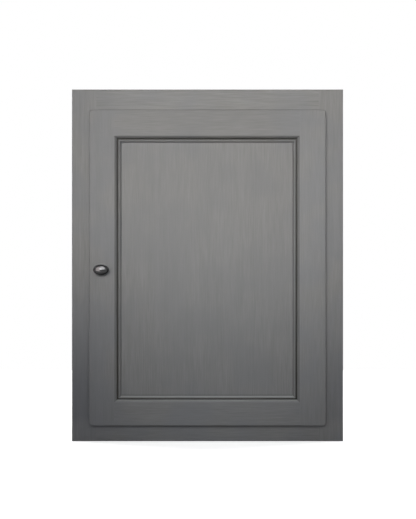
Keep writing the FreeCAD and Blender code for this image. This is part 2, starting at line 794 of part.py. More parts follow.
def knob():
    """An oval knob: a foot, a waisted neck that flares to a rim, and a domed crown."""
    rim_top = "dims.knob_projection - dims.knob_crown"
    rim_low = f"{rim_top} - dims.knob_rim"
    foot = ("dims.knob_foot_width", "dims.knob_foot_height")
    neck = ("dims.knob_neck_width", "dims.knob_neck_height")
    head = ("dims.knob_width", "dims.knob_height")
    neck_level = f"(dims.knob_foot_thick + {rim_low}) / 2"
    foot_solid = loft("knob_foot", [oval("knob_foot_low", *foot, "0"),
                                    oval("knob_foot_top", *foot, "dims.knob_foot_thick")])
    neck_solid = loft("knob_neck", [oval("knob_neck_low", *foot, "dims.knob_foot_thick"),
                                    oval("knob_waist", *neck, neck_level),
                                    oval("knob_neck_top", *head, rim_low)])
    rim_solid = loft("knob_rim", [oval("knob_rim_low", *head, rim_low),
                                  oval("knob_rim_top", *head, rim_top)])
    crown = doc.addObject("Part::Ellipsoid", "knob_crown")
    crown.Angle1 = 0
    crown.setExpression("Radius1", "dims.knob_crown")
    crown.setExpression("Radius2", "dims.knob_width / 2")
    crown.setExpression("Radius3", "dims.knob_height / 2")
    crown.setExpression("Placement.Base.z", rim_top)
    solid = doc.addObject("Part::MultiFuse", "knob_solid")
    solid.Shapes = [foot_solid, neck_solid, rim_solid, crown]
    bore = doc.addObject("Part::Cylinder", "knob_bore")
    bore.setExpression("Radius", "dims.knob_screw_radius + dims.screw_fit")
    bore.setExpression("Height", "dims.knob_screw_reach + dims.screw_fit")
    made = doc.addObject("Part::Cut", "knob")
    made.Label = "knob"
    made.Base, made.Tool = solid, bore
    doc.recompute()
    place(made, "layout.knob_x", "layout.door_front_y", "layout.knob_z", Rotation(Vector(1, 0, 0), 90))
    finish(made)


def pan_head(radius, thick):
    """The half section of a screw's raised head, seated at 0."""
    return [("0", thick), (f"{radius} - {thick} / 2", thick), (radius, f"{thick} / 2"), (radius, "0")]


def machine_screw(label, radius, length, head_radius, head_thick):
    """A screw with a raised head and a square end at -Z."""
    return turned(label, pan_head(head_radius, head_thick) + [
        (radius, "0"), (radius, f"-({length})"), ("0", f"-({length})")])


def knob_screw():
    screw = machine_screw("knob_screw", "dims.knob_screw_radius",
                          "dims.door_thick + dims.knob_screw_reach",
                          "dims.knob_screw_head_radius", "dims.knob_screw_head_thick")
    place(screw, "layout.knob_x", "layout.door_back_y", "layout.knob_z", DRIVEN_FORWARD)
    finish(screw)


def wood_screws(label, places, rotation):
    """Pointed screws, each with its head seated at a place and driven one way."""
    half_section = pan_head("dims.screw_head_radius", "dims.screw_head_thick") + [
        ("dims.screw_radius", "0"),
        ("dims.screw_radius", "dims.screw_point - dims.screw_length"),
        ("0", "-dims.screw_length"),
    ]
    screws = []
    for x, y, z in places:
        screw = turned(f"{label}_{len(screws)}", half_section)
        place(screw, x, y, z, rotation)
        screws.append(screw)
    group(label, screws)


# Hinges

def hinge_levels():
    """The height of each hinge's middle."""
    return {
        "lower": "(layout.door_low + dims.hinge_end)",
        "upper": "(layout.door_low + layout.door_height - dims.hinge_end)",
    }


def hinge_cup(label, level):
    """A drawn cup with a screw flange, and two cheeks that hold the hinge pin."""
    half_flange = "dims.cup_flange_height / 2"
    floor = "dims.cup_wall - dims.cup_depth"
    body = new_body(label)
    pad_outline(body, "XZ", "0", "dims.cup_flange_thick",
                rectangle("-dims.cup_flange_width / 2", f"-{half_flange}",
                          "dims.cup_flange_width", "dims.cup_flange_height"))
    half = value(half_flange)
    round_edges(body, "dims.cup_flange_round", lambda x, y, z: same(abs(z), half)
                and same(abs(x), value("dims.cup_flange_width / 2")))
    pad_circles(body, "XZ", "-dims.cup_depth", "dims.cup_depth", [("0", "0")], "dims.cup_radius")
    cut_circles(body, "XZ", floor, f"dims.cup_flange_thick - ({floor})", [("0", "0")],
                "dims.cup_radius - dims.cup_wall")
    near = "dims.arm_width / 2 + dims.cheek_gap"
    for low in (near, f"-({near}) - dims.cheek_thick"):
        pad_outline(body, "XZ", floor, f"dims.cheek_rise - dims.pivot_depth - ({floor})",
                    rectangle("layout.cup_pivot - dims.cheek_reach", low,
                              "dims.cheek_reach + dims.knuckle_radius - dims.cheek_gap",
                              "dims.cheek_thick"))
    pin_half = f"({near} + dims.cheek_thick)"
    cut_circles(body, "XY", f"-{pin_half}", f"2 * {pin_half}",
                [("layout.cup_pivot", "-dims.pivot_depth")], "dims.hinge_pin_radius")
    cut_circles(body, "XZ", "0", "dims.cup_flange_thick",
                [("0", "dims.cup_screw_spacing / 2"), ("0", "-dims.cup_screw_spacing / 2")],
                "dims.screw_radius + dims.screw_fit")
    place(body, "layout.cup_x", "layout.door_back_y", level)
    finish(body)


def hinge_pin(label, level):
    half = "(dims.arm_width / 2 + dims.cheek_gap + dims.cheek_thick)"
    body = new_body(label)
    pad_circles(body, "XY", f"-{half}", f"2 * {half}", [("0", "0")], "dims.hinge_pin_radius")
    place(body, "layout.pivot_x", "layout.pivot_y", level)
    finish(body)


def hinge_arm(label, level):
    """A bent arm: it turns on the pin, leaves the cup by its mouth and lies along the frame plate.

    Its X and Y are measured from the frame stile's inner front corner.
    """
    pivot = ("layout.pivot_x - layout.opening_half", "-(dims.door_gap + dims.pivot_depth)")
    front = f"{pivot[1]} - dims.knuckle_radius"
    neck = "-dims.arm_neck"
    foot = "-(dims.plate_thick + dims.arm_thick)"
    step = "dims.arm_step"
    low = "-dims.arm_width / 2"
    body = new_body(label)
    pad_outline(body, "XY", low, "dims.arm_width", [
        (pivot[0], front),
        (neck, front),
        (neck, f"{step} + dims.arm_thick"),
        (foot, f"{step} + dims.arm_thick"),
        (foot, "dims.arm_foot"),
        ("-dims.plate_thick", "dims.arm_foot"),
        ("-dims.plate_thick", step),
        (f"{neck} + dims.arm_thick", step),
        (f"{neck} + dims.arm_thick", f"{front} + dims.arm_thick"),
        (pivot[0], f"{front} + dims.arm_thick"),
    ])
    bends = [(neck, front), (neck, f"{step} + dims.arm_thick"), ("-dims.plate_thick", step)]
    corners = [(value(x), value(y)) for x, y in bends]
    round_edges(body, "dims.arm_bend",
                lambda x, y, z: any(same(x, bend_x) and same(y, bend_y) for bend_x, bend_y in corners))
    pad_circles(body, "XY", low, "dims.arm_width", [pivot], "dims.knuckle_radius")
    cut_circles(body, "XY", low, "dims.arm_width", [pivot], "dims.hinge_pin_radius + dims.hinge_pin_fit")
    cut_circles(body, "YZ", foot, "dims.arm_thick", [("dims.frame_thick / 2", "0")],
                "dims.arm_screw_radius + dims.screw_fit")
    place(body, "layout.opening_half", "layout.frame_y", level)
    finish(body)


def hinge_plate(label, level):
    """The plate on the frame stile's inner edge that carries the arm."""
    half = "dims.plate_height / 2"
    body = new_body(label)
    pad_outline(body, "YZ", "-dims.plate_thick", "dims.plate_thick",
                rectangle("dims.plate_margin", f"-{half}", "layout.plate_depth", "dims.plate_height"))
    round_edges(body, "dims.plate_round", lambda x, y, z: same(abs(z), value(half)) and
                (same(y, value("dims.plate_margin")) or
                 same(y, value("dims.plate_margin + layout.plate_depth"))))
    middle = "dims.frame_thick / 2"
    cut_circles(body, "YZ", "-dims.plate_thick", "dims.plate_thick", [(middle, "0")],
                "dims.arm_screw_radius + dims.screw_fit")
    cut_circles(body, "YZ", "-dims.plate_thick", "dims.plate_thick",
                [(middle, "dims.plate_screw_spacing / 2"), (middle, "-dims.plate_screw_spacing / 2")],
                "dims.screw_radius + dims.screw_fit")
    place(body, "layout.opening_half", "layout.frame_y", level)
    finish(body)


def hinges():
    arm_screws, cup_places, plate_places = [], [], []
    for name, level in hinge_levels().items():
        hinge_cup(f"hinge_cup_{name}", level)
        hinge_pin(f"hinge_pin_{name}", level)
        hinge_arm(f"hinge_arm_{name}", level)
        hinge_plate(f"hinge_plate_{name}", level)
        screw = machine_screw(f"arm_screw_{name}", "dims.arm_screw_radius",
                              "dims.arm_thick + dims.plate_thick",
                              "dims.arm_screw_head_radius", "dims.arm_screw_head_thick")
        place(screw, "layout.opening_half - dims.plate_thick - dims.arm_thick",
              "layout.frame_y + dims.frame_thick / 2", level, DRIVEN_RIGHT)
        arm_screws.append(screw)
        for sign in "+-":
            cup_places.append(("layout.cup_x", "layout.door_back_y + dims.cup_flange_thick",
                               f"{level} {sign} dims.cup_screw_spacing / 2"))
            plate_places.append(("layout.opening_half - dims.plate_thick",
                                 "layout.frame_y + dims.frame_thick / 2",
                                 f"{level} {sign} dims.plate_screw_spacing / 2"))
    group("hinge_arm_screws", arm_screws)
    wood_screws("hinge_cup_screws", cup_places, DRIVEN_FORWARD)
    wood_screws("hinge_plate_screws", plate_places, DRIVEN_RIGHT)


# Catch and bumpers

def catch():
    """A magnet in a small eared case on the frame stile, and its strike on the door."""
    middle = "dims.catch_setback + dims.catch_depth / 2"
    body = new_body("catch_body")
    pad_outline(body, "YZ", "0", "dims.catch_width",
                rectangle("dims.catch_setback", "-dims.catch_height / 2",
                          "dims.catch_depth", "dims.catch_height"))
    pad_outline(body, "YZ", "0", "dims.catch_ear_thick",
                rectangle(f"{middle} - dims.catch_ear_depth / 2", "-dims.catch_ear_height / 2",
                          "dims.catch_ear_depth", "dims.catch_ear_height"))
    cut_circles(body, "YZ", "0", "dims.catch_ear_thick",
                [(middle, "dims.catch_screw_spacing / 2"), (middle, "-dims.catch_screw_spacing / 2")],
                "dims.screw_radius + dims.screw_fit")
    pole = rectangle("(dims.catch_width - dims.magnet_width) / 2", "-dims.magnet_height / 2",
                     "dims.magnet_width", "dims.magnet_height")
    cut_outline(body, "XZ", "dims.catch_setback", "dims.magnet_length", pole)
    place(body, "-layout.opening_half", "layout.frame_y", "layout.catch_z")
    finish(body)

    magnet = new_body("catch_magnet")
    pad_outline(magnet, "XZ", "-layout.magnet_stand",
                "layout.magnet_stand + dims.catch_setback + dims.magnet_length", pole)
    place(magnet, "-layout.opening_half", "layout.frame_y", "layout.catch_z")
    finish(magnet)

    wood_screws("catch_screws", [
        ("dims.catch_ear_thick - layout.opening_half", f"layout.frame_y + {middle}",
         f"layout.catch_z {sign} dims.catch_screw_spacing / 2") for sign in "+-"], DRIVEN_LEFT)

    strike = board("strike_plate", "layout.strike_x - dims.strike_width / 2", "layout.door_back_y",
                   "layout.catch_z - dims.strike_height / 2",
                   "dims.strike_width", "dims.strike_thick", "dims.strike_height")
    cut_circles(strike, "XZ", "0", "dims.strike_thick",
                [("dims.strike_width / 2", f"(dims.strike_height {sign} dims.strike_screw_spacing) / 2")
                 for sign in "+-"], "dims.screw_radius + dims.screw_fit")
    wood_screws("strike_screws", [
        ("layout.strike_x", "layout.door_back_y + dims.strike_thick",
         f"layout.catch_z {sign} dims.strike_screw_spacing / 2") for sign in "+-"], DRIVEN_FORWARD)


def bumpers():
    """Two soft stops behind the door's free edge."""
    stops = []
    for level in ("layout.door_low + dims.bumper_end",
                  "layout.door_low + layout.door_height - dims.bumper_end"):
        stop = turned(f"bumper_{len(stops)}", [
            ("0", "0"),
            ("dims.bumper_radius", "0"),
            ("dims.bumper_top_radius", "dims.door_gap - dims.bumper_play"),
            ("0", "dims.door_gap - dims.bumper_play"),
        ])
        place(stop, "dims.bumper_inset - layout.door_half", "layout.door_back_y", level, DRIVEN_FORWARD)
        stops.append(stop)
    group("door_bumpers", stops)


def write_parts():
    """Checks every object and writes each finished piece to its own file."""
    doc.recompute()
    for thing in doc.Objects:
        if "Invalid" in thing.State or "Error" in thing.State:
            raise RuntimeError(f"{thing.Label} failed: {thing.State}")
    for node in nodes:
        if node.Shape.isNull() or not node.Shape.isValid():
            raise RuntimeError(f"{node.Label} has no valid shape")
    os.makedirs("parts", exist_ok=True)
    for node in nodes:
        node.Shape.exportStep(f"parts/{node.Label}.step")


side_panel("side_panel_left", "-layout.inner_half - dims.board_thick", True)
side_panel("side_panel_right", "layout.inner_half", False)
case_boards()
back_panel_nails()
frame_stiles()
frame_rails()
shelves()
shelf_pins()
door_stiles()
door_rails()
door_panel()
mouldings()
knob()
knob_screw()
hinges()
catch()
bumpers()
write_parts()
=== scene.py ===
"""Finishes a painted wall cupboard: brushed paint, bare board, plated fittings and a polished knob.

Metres, in the cupboard's own frame: +X is to the right, +Y to the back and +Z up.
"""

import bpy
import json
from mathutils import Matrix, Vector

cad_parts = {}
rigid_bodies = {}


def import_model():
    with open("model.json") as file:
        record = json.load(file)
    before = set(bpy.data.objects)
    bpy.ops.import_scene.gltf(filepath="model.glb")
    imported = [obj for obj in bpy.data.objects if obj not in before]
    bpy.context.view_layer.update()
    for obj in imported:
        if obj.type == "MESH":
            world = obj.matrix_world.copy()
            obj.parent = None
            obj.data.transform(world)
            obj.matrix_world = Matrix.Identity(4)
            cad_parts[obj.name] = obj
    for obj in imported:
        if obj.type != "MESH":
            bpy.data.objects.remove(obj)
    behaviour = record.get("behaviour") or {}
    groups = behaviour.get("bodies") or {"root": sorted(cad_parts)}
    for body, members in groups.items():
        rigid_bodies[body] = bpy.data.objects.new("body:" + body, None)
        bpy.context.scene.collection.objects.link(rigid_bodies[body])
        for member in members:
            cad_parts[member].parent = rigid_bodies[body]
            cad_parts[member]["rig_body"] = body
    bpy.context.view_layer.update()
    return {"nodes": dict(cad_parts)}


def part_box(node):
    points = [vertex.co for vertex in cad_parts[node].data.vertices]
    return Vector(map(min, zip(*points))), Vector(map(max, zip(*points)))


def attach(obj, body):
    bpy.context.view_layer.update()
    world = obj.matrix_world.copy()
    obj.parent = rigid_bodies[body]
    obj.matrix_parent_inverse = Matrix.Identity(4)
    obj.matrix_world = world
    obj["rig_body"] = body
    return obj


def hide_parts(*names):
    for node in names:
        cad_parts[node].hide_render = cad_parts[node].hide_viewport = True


bl_info = {
    "name": "Wall cupboard finishes",
    "version": (1, 0, 0),
    "blender": (4, 5, 0),
    "location": "View3D > Sidebar > Cupboard",
    "description": "Paints a wall cupboard, makes its knob, screws and bumpers, and sets its stage",
    "category": "Object",
}

import json
import math
from typing import NamedTuple

import bpy
import numpy as np
from bpy.props import FloatProperty, FloatVectorProperty, PointerProperty
from mathutils import Vector

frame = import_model()


# Sizes and colours

def length(name, description, default):
    return FloatProperty(name=name, description=description, default=default, unit="LENGTH", precision=5)


def share(name, description, default):
    return FloatProperty(name=name, description=description, default=default, subtype="FACTOR", min=0, max=1)


def number(name, description, default):
    return FloatProperty(name=name, description=description, default=default, min=0)


def colour(name, description, default):
    return FloatVectorProperty(name=name, description=description, default=default, subtype="COLOR",
                               min=0, max=1)


def watts(name, description, default):
    return FloatProperty(name=name, description=description, default=default, unit="POWER", min=0)


class PaintSettings(bpy.types.PropertyGroup):
    cool: colour("Cool grey", "Paint where it dried a little bluer", (0.240, 0.238, 0.239))
    warm: colour("Warm grey", "Paint where it dried a little browner", (0.246, 0.2392, 0.2305))
    patch: length("Patch", "Size of the patches of cool and warm paint", 0.09)
    cloud: share("Clouds", "Weight of the patches in the shade", 0.25)
    unevenness: share("Unevenness", "How far the brush marks and the clouds differ in shade", 0.2)
    stroke: length("Stroke width", "Width of one stroke of the brush", 0.011)
    stroke_reach: length("Stroke length", "Length of one stroke of the brush", 0.22)
    stroke_mark: number("Stroke marks", "Weight of the strokes in the brush marks", 0.7)
    bristle: length("Bristle line", "Width of a line left by the bristles", 0.0018)
    bristle_reach: length("Bristle line length", "Length of a line left by the bristles", 0.044)
    bristle_mark: number("Bristle marks", "Weight of the bristles' lines in the brush marks", 0.9)
    warm_mark: number("Warm marks", "Weight that warm paint adds to the bristles' lines", 1.2)
    bristle_depth: length("Bristle depth", "Depth of a line left by the bristles", 0.00006)
    bristle_relief: share("Bristle relief", "Strength of the bristles' lines in the light", 0.6)
    roughness: share("Roughness", "Roughness of the satin paint", 0.46)
    rough_lines: share("Rough lines", "How far the bristles' lines differ in roughness", 0.12)
    specular: share("Specular", "Specular level of the satin paint", 0.3)
    thin: colour("Thin paint", "Paint worn thin along the arrises", (0.34, 0.34, 0.33))
    arris: length("Arris", "Width of the thin paint along an arris", 0.0016)
    wear: share("Wear", "Share of thin paint along an arris", 0.15)
    joint: length("Joint", "Distance from its ends in which a board takes on its own tone", 0.09)


# Painted light on the paint: painted shade in the moulding's crease, on its slopes and at the foot of the
# face frame, and pale dust with painted highlight on slopes that face up
class PaintedLightSettings(bpy.types.PropertyGroup):
    # Colour of all the painted shade on the moulding and the panel: in the quirk, in lines at the foot, the
    # step and the ledge, and thin on slopes
    painted_shade: colour("Glaze", "Dark wax in the moulding's quirk and corners", (0.016, 0.0145, 0.009))
    # Shares of thin painted shade on slopes that face forwards, and more on slopes that face down, away from
    # the light above
    slope_shade: share("Wash", "Share of thin glaze on slopes that face forwards", 0.16)
    slope_shade_below: share("Wash below", "Share that is added on slopes that face down", 0.14)
    # Pale dust with painted highlight on slopes that face up, and its share all over such a slope
    dust_and_highlight: colour("Dust", "Pale dust on slopes that face up", (0.5, 0.5, 0.49))
    slope_dust_and_highlight: share("Film", "Share of dust all over such a slope", 0.35)
    # Painted shade at the foot of the face frame, darker and bluer towards the bottom, and the heights
    # between which it fades
    low_shade: colour("Soil", "Cool grime at the foot of the face frame", (0.12, 0.126, 0.142))
    shade_top: length("Soil top", "Height at which the grime ends", 0.27)
    shade_full: length("Soil full", "Height below which the grime is thickest", 0.10)
    shade_foot: length("Soil foot", "Height at which the grime starts", 0.028)
    shade_rise: length("Soil rise", "Height above which the grime is whole", 0.056)


class BoardSettings(bpy.types.PropertyGroup):
    pale: colour("Pale grain", "Early wood of the bare back", (0.47, 0.33, 0.19))
    dark: colour("Dark grain", "Late wood of the bare back", (0.30, 0.19, 0.10))
    skin: length("Paint edge", "How far in front of the back's rear face the paint stops", 0.0006)
    ring: length("Ring width", "Width of one ring of the bare back", 0.013)
    ring_mark: number("Ring marks", "How far a ring darkens", 0.6)
    bend: length("Bend width", "Width of the rings' slow bends, and the most that they shift a ring", 0.13)
    bend_reach: length("Bend length", "Length of the slow bends of the rings", 0.55)
    fibre: length("Fibre width", "Width of the fibres of the bare back", 0.0009)
    fibre_reach: length("Fibre length", "Length of the fibres of the bare back", 0.045)
    fibre_mark: number("Fibre marks", "How far the fibres differ in shade", 1.5)
    fibre_pale: share("Pale fibres", "Level of the noise at which a fibre leaves the shade as it is", 0.38)
    roughness: share("Roughness", "Roughness of the bare back", 0.68)


class MetalSettings(bpy.types.PropertyGroup):
    knob: colour("Knob", "Dark polished metal", (0.042, 0.042, 0.043))
    knob_edge: colour("Knob edge", "Tint of the knob's metal where it is seen aslant", (0.2, 0.2, 0.2))
    knob_roughness: share("Knob roughness", "Roughness of the polished metal", 0.2)
    steel: colour("Steel", "Nickel-plated steel", (0.58, 0.56, 0.53))
    steel_roughness: share("Steel roughness", "Roughness of the plating", 0.3)
    magnet: colour("Magnet", "Ground face of the magnet", (0.06, 0.06, 0.065))
    magnet_roughness: share("Magnet roughness", "Roughness of the ground face", 0.5)
    cloud: length("Cloud", "Size of the clouds in the polish", 0.006)
    cloud_tone: share("Cloud tone", "How far the clouds lighten and darken the metal", 0.15)
    cloud_polish: share("Cloud polish", "How far the clouds raise and lower the roughness", 0.2)
    scratch: length("Scratch width", "Width of a rubbing mark", 0.0006)
    scratch_reach: length("Scratch length", "Length of a rubbing mark", 0.0072)
    scratch_depth: length("Scratch depth", "Depth of a rubbing mark", 0.00002)
    scratch_relief: share("Scratch relief", "Strength of the rubbing marks in the light", 0.25)


class PlasticSettings(bpy.types.PropertyGroup):
    case: colour("Catch case", "Off-white moulded plastic", (0.70, 0.69, 0.65))
    case_roughness: share("Case roughness", "Roughness of the catch's case", 0.45)
    bumper: colour("Bumper", "Clear soft plastic", (0.78, 0.79, 0.78))
    bumper_roughness: share("Bumper roughness", "Roughness of the bumpers", 0.25)
    bumper_clear: share("Bumper clearness", "Share of the light that passes through a bumper", 0.6)
    cloud: length("Cloud", "Size of the clouds in the colour", 0.008)
    cloud_tone: share("Cloud tone", "How far the clouds darken the plastic", 0.06)
    grain: length("Grain", "Size of the mould's grain", 0.0004)
    grain_depth: length("Grain depth", "Depth of the mould's grain", 0.00003)
    grain_relief: share("Grain relief", "Strength of the grain in the light", 0.4)
    rough_grain: share("Rough grain", "How far the grain differs in roughness", 0.1)


class KnobSettings(bpy.types.PropertyGroup):
    crown: length("Crown", "Height of the domed front", 0.0085)
    rim: length("Rim", "Thickness of the rounded rim", 0.0016)
    foot_width: length("Foot width", "Width of the foot on the door", 0.015)
    foot_height: length("Foot height", "Height of the foot on the door", 0.012)
    foot_thick: length("Foot thickness", "How far the foot stands off the door", 0.0025)
    neck_width: length("Neck width", "Width of the neck at its waist", 0.01)
    neck_height: length("Neck height", "Height of the neck at its waist", 0.0085)
    flare: number("Flare", "Power of the distance from the waist by which the neck widens", 2.2)


class ScrewSettings(bpy.types.PropertyGroup):
    head: share("Head thickness", "Thickness of a head as a share of its radius", 0.6)
    shank: share("Shank", "Radius of the thread's crest as a share of the head's", 0.5)
    point: length("Point", "Length of a wood screw's point", 0.003)
    pitch: length("Pitch", "Rise of the thread in one turn", 0.0014)
    thread: length("Thread depth", "Depth of the thread", 0.0004)
    recess_reach: share("Recess reach", "Reach of the cross recess as a share of the head's radius", 0.58)
    recess_width: share("Recess width", "Half width of the recess as a share of the head's radius", 0.17)
    recess_depth: share("Recess depth", "Depth of the recess as a share of the head's thickness", 0.75)
    recess_wall: number("Recess wall", "Steepness of the recess's long walls", 1.6)
    recess_end: number("Recess end", "Steepness of the recess's ends", 2.0)


class BumperSettings(bpy.types.PropertyGroup):
    edge: share("Edge", "Height of the straight edge as a share of the whole", 0.25)
    fullness: share("Fullness", "Power of the cosine in the dome: the smaller, the fuller", 0.6)


class StageSettings(bpy.types.PropertyGroup):
    aside: length("Aside", "How far the camera stands to the right of the middle", 0.001)
    distance: length("Distance", "From the camera to the face frame", 3.0)
    eye: length("Eye height", "Height of the camera", 0.372)
    view: length("View height", "Height of the picture at the face frame", 1.0619)
    floor: length("Floor", "Width of the floor", 3.6)
    floor_drop: length("Floor drop", "Room between the cupboard's base and the floor", 0.0005)
    bounce: colour("Bounce", "Colour of the floor to the light that it throws back", (0.125, 0.134, 0.19))
    pale: colour("Pale floor", "Colour of the floor to the eye", (0.9, 0.9, 0.9))
    lift: share("Lift", "White that is added to the floor to the eye", 0.78)
    fill: colour("Fill", "Light from all round", (0.10, 0.101, 0.104))
    key: watts("Key", "Power of the gridded softbox on the upper part", 1.44)
    low: watts("Low", "Power of the gridded softbox on the foot", 0.17)
    front: watts("Front", "Power of the open softbox in front, to the right of the camera", 4.3)
    shine: watts("Shine", "Power of the softbox that shines in the knob", 15.6)
    blush: watts("Blush", "Power of the warm softbox that shines in the knob's left", 15.0)
    rear: watts("Rear", "Power of each open softbox behind", 52)


class CupboardSettings(bpy.types.PropertyGroup):
    paint: PointerProperty(type=PaintSettings)
    # Settings of the painted shade and painted highlight
    light_layers: PointerProperty(type=PaintedLightSettings)
    board: PointerProperty(type=BoardSettings)
    metal: PointerProperty(type=MetalSettings)
    plastic: PointerProperty(type=PlasticSettings)
    knob: PointerProperty(type=KnobSettings)
    screws: PointerProperty(type=ScrewSettings)
    bumpers: PointerProperty(type=BumperSettings)
    stage: PointerProperty(type=StageSettings)


# Shader maths

class Signal:
    """One output of a shader node. Arithmetic on it adds Math nodes to the same tree."""

    def __init__(self, socket):
        self.socket = socket

    @classmethod
    def node(cls, tree, kind, settings=None, sockets=None, output=0):
        """Adds a node: first its settings, then the values or links of its sockets."""
        made = tree.nodes.new(f"ShaderNode{kind}")
        for name, setting in (settings or {}).items():
            setattr(made, name, setting)
        for name, given in (sockets or {}).items():
            if isinstance(given, Signal):
                tree.links.new(given.socket, made.inputs[name])
            else:
                made.inputs[name].default_value = given
        return cls(made.outputs[output]) if made.outputs else None

    def maths(self, operation, first, second=0.0):
        return Signal.node(self.socket.id_data, "Math", {"operation": operation}, {0: first, 1: second})

    def __add__(self, other):
        return self.maths("ADD", self, other)

    def __radd__(self, other):
        return self.maths("ADD", other, self)

    def __sub__(self, other):
        return self.maths("SUBTRACT", self, other)

    def __rsub__(self, other):
        return self.maths("SUBTRACT", other, self)

    def __mul__(self, other):
        return self.maths("MULTIPLY", self, other)

    def __rmul__(self, other):
        return self.maths("MULTIPLY", other, self)

    def __abs__(self):
        return self.maths("ABSOLUTE", self)

    def smaller(self, other):
        return self.maths("MINIMUM", self, other)

    def larger(self, other):
        return self.maths("MAXIMUM", self, other)

    def fraction(self):
        """What is left over the whole number below it."""
        return self.maths("FRACT", self)

    def centred(self):
        """A noise less its mean, so that it adds as much as it takes away."""
        return self - 0.5

    def ramp(self, start, end):
        """Rises smoothly from 0 at start to 1 at end, or falls where end is below start."""
        return Signal.node(self.socket.id_data, "MapRange", {"interpolation_type": "SMOOTHSTEP"},
                           {"Value": self, "From Min": start, "From Max": end})


WHITE = (1.0, 1.0, 1.0)


def new_material(name):
    material = bpy.data.materials.new(name)
    material.use_nodes = True
    material.node_tree.nodes.clear()
    return material, material.node_tree


def close(tree, shader):
    """Makes a shader the surface of its material."""
    Signal.node(tree, "OutputMaterial", {}, {"Surface": shader})


def opaque(tint, strength=1.0):
    """A colour at a strength with full alpha, as a shader's socket takes it."""
    return (*(part * strength for part in tint), 1.0)


# The places of a Mix node's factor and colours among its sockets, and of the colour that comes out
MIX_FACTOR, MIX_LOW, MIX_HIGH, MIX_RESULT = 0, 6, 7, 2


def blend(tree, factor, low, high, kind="MIX"):
    """The colour low where factor is 0 and high where it is 1."""
    return Signal.node(tree, "Mix", {"data_type": "RGBA", "blend_type": kind},
                       {MIX_FACTOR: factor, MIX_LOW: low, MIX_HIGH: high}, MIX_RESULT)


def object_place(tree):
    return Signal.node(tree, "TexCoord", output="Object")


def split(tree, vector):
    """The three parts of a vector."""
    first = Signal.node(tree, "SeparateXYZ", {}, {0: vector})
    return [Signal(part) for part in first.socket.node.outputs]


def facing_up(tree):
    """How far the surface faces up: 1 for a top, 0 for a wall and -1 for an underside."""
    return split(tree, Signal.node(tree, "NewGeometry", output="Normal"))[2]


def stretched_noise(tree, place, sizes, detail=2.0):
    """Noise from 0 to 1 whose spots have these sizes along X, Y and Z."""
    mapped = Signal.node(tree, "Mapping", {}, {"Vector": place, "Scale": [1 / size for size in sizes]})
    return Signal.node(tree, "TexNoise", {}, {"Vector": mapped, "Scale": 1.0, "Detail": detail})


def streak(width, reach, axis=2):
    """The sizes of a mark of this width that runs this far along one axis, or else up."""
    sizes = [width] * 3
    sizes[axis] = reach
    return sizes


def relief(tree, height, depth, strength):
    """A normal that shows a noise as marks of this depth."""
    return Signal.node(tree, "Bump", {}, {"Height": height, "Distance": depth, "Strength": strength})


# Paint on the boards

class Board(NamedTuple):
    """How one board took the paint.

    Shade multiplies its colour, warmth is its least share of warm grey, strokes multiplies the marks of
    the brush, and the last field is the share of painted shade at its foot, darker towards the bottom.
    """
    shade: float = 1.0
    warmth: float = 0.0
    strokes: float = 1.0
    low_shade: float = 0.0


BOARDS = {
    "frame_rail_top": Board(shade=1.045, strokes=1.5),
    "frame_rail_bottom": Board(shade=1.06, strokes=1.3),
    # The stiles take painted shade at the foot, darker towards the bottom, the left more than the right
    "frame_stile_left": Board(strokes=1.1, low_shade=0.38),
    "frame_stile_right": Board(shade=0.975, strokes=1.1, low_shade=0.26),
    "door_rail_top": Board(shade=0.95, warmth=0.6),
    "door_rail_bottom": Board(shade=1.06, strokes=1.3),
    "door_stile_right": Board(shade=1.025),
    "door_panel": Board(shade=0.972, warmth=0.6),
}

# Levels of the noise between which a patch of paint turns from cool to warm
PATCH_EDGES = (0.35, 0.65)

# Parts of a ring's width over which bare wood darkens, and over which it ends
RING_DARKENS = (0.05, 0.9)
RING_ENDS = (1.0, 0.9)


def node_box(node):
    """The lowest and the highest corner of a node, as arrays."""
    low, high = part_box(node)
    return np.array(low), np.array(high)


def side_distances(tree, place, box):
    """How far a point is from the nearer of a board's two sides, along X, Y and Z."""
    return [(high - low) / 2 - abs(part - (low + high) / 2)
            for part, low, high in zip(split(tree, place), box[0].tolist(), box[1].tolist())]


def arris_distance(x, y, z):
    """How far a point is from a board's nearest arris.

    Of its three distances from the board's pairs of sides, the smallest is 0 on every face, and the
    middle one is 0 on every arris.
    """
    return x.smaller(y).larger(x.larger(y).smaller(z))


def longest(box):
    """The number of the axis along which a board is longest."""
    return int(np.argmax(box[1] - box[0]))


def brush_marks(tree, place, box, look):
    """Noise of the bristles and of the strokes, laid off along a board's longest side."""
    axis = longest(box)
    bristles = stretched_noise(tree, place, streak(look.bristle, look.bristle_reach, axis))
    strokes = stretched_noise(tree, place, streak(look.stroke, look.stroke_reach, axis), detail=3.0)
    return bristles, strokes


def painted_colour(tree, place, box, look, board):
    """The paint's colour, and the noise of its bristles."""
    bristles, strokes = brush_marks(tree, place, box, look)
    patches = stretched_noise(tree, place, [look.patch] * 3).ramp(*PATCH_EDGES)
    distances = side_distances(tree, place, box)
    own = distances[longest(box)].ramp(0.0, look.joint)
    warmth = patches + board.warmth * own * (1 - patches)
    hue = blend(tree, warmth, opaque(look.cool), opaque(look.warm))
    bristle_mark = look.bristle_mark + look.warm_mark * patches
    lines = look.stroke_mark * strokes.centred() + bristle_mark * bristles.centred()
    marks = look.unevenness * (board.strokes * lines + look.cloud * patches.centred())
    shade = 1 + (board.shade - 1) * own + marks
    even = blend(tree, 1.0, hue, shade, "MULTIPLY")
    edge = arris_distance(*distances) + look.arris * bristles.centred()
    return blend(tree, look.wear * edge.ramp(look.arris, 0.0), even, opaque(look.thin)), bristles


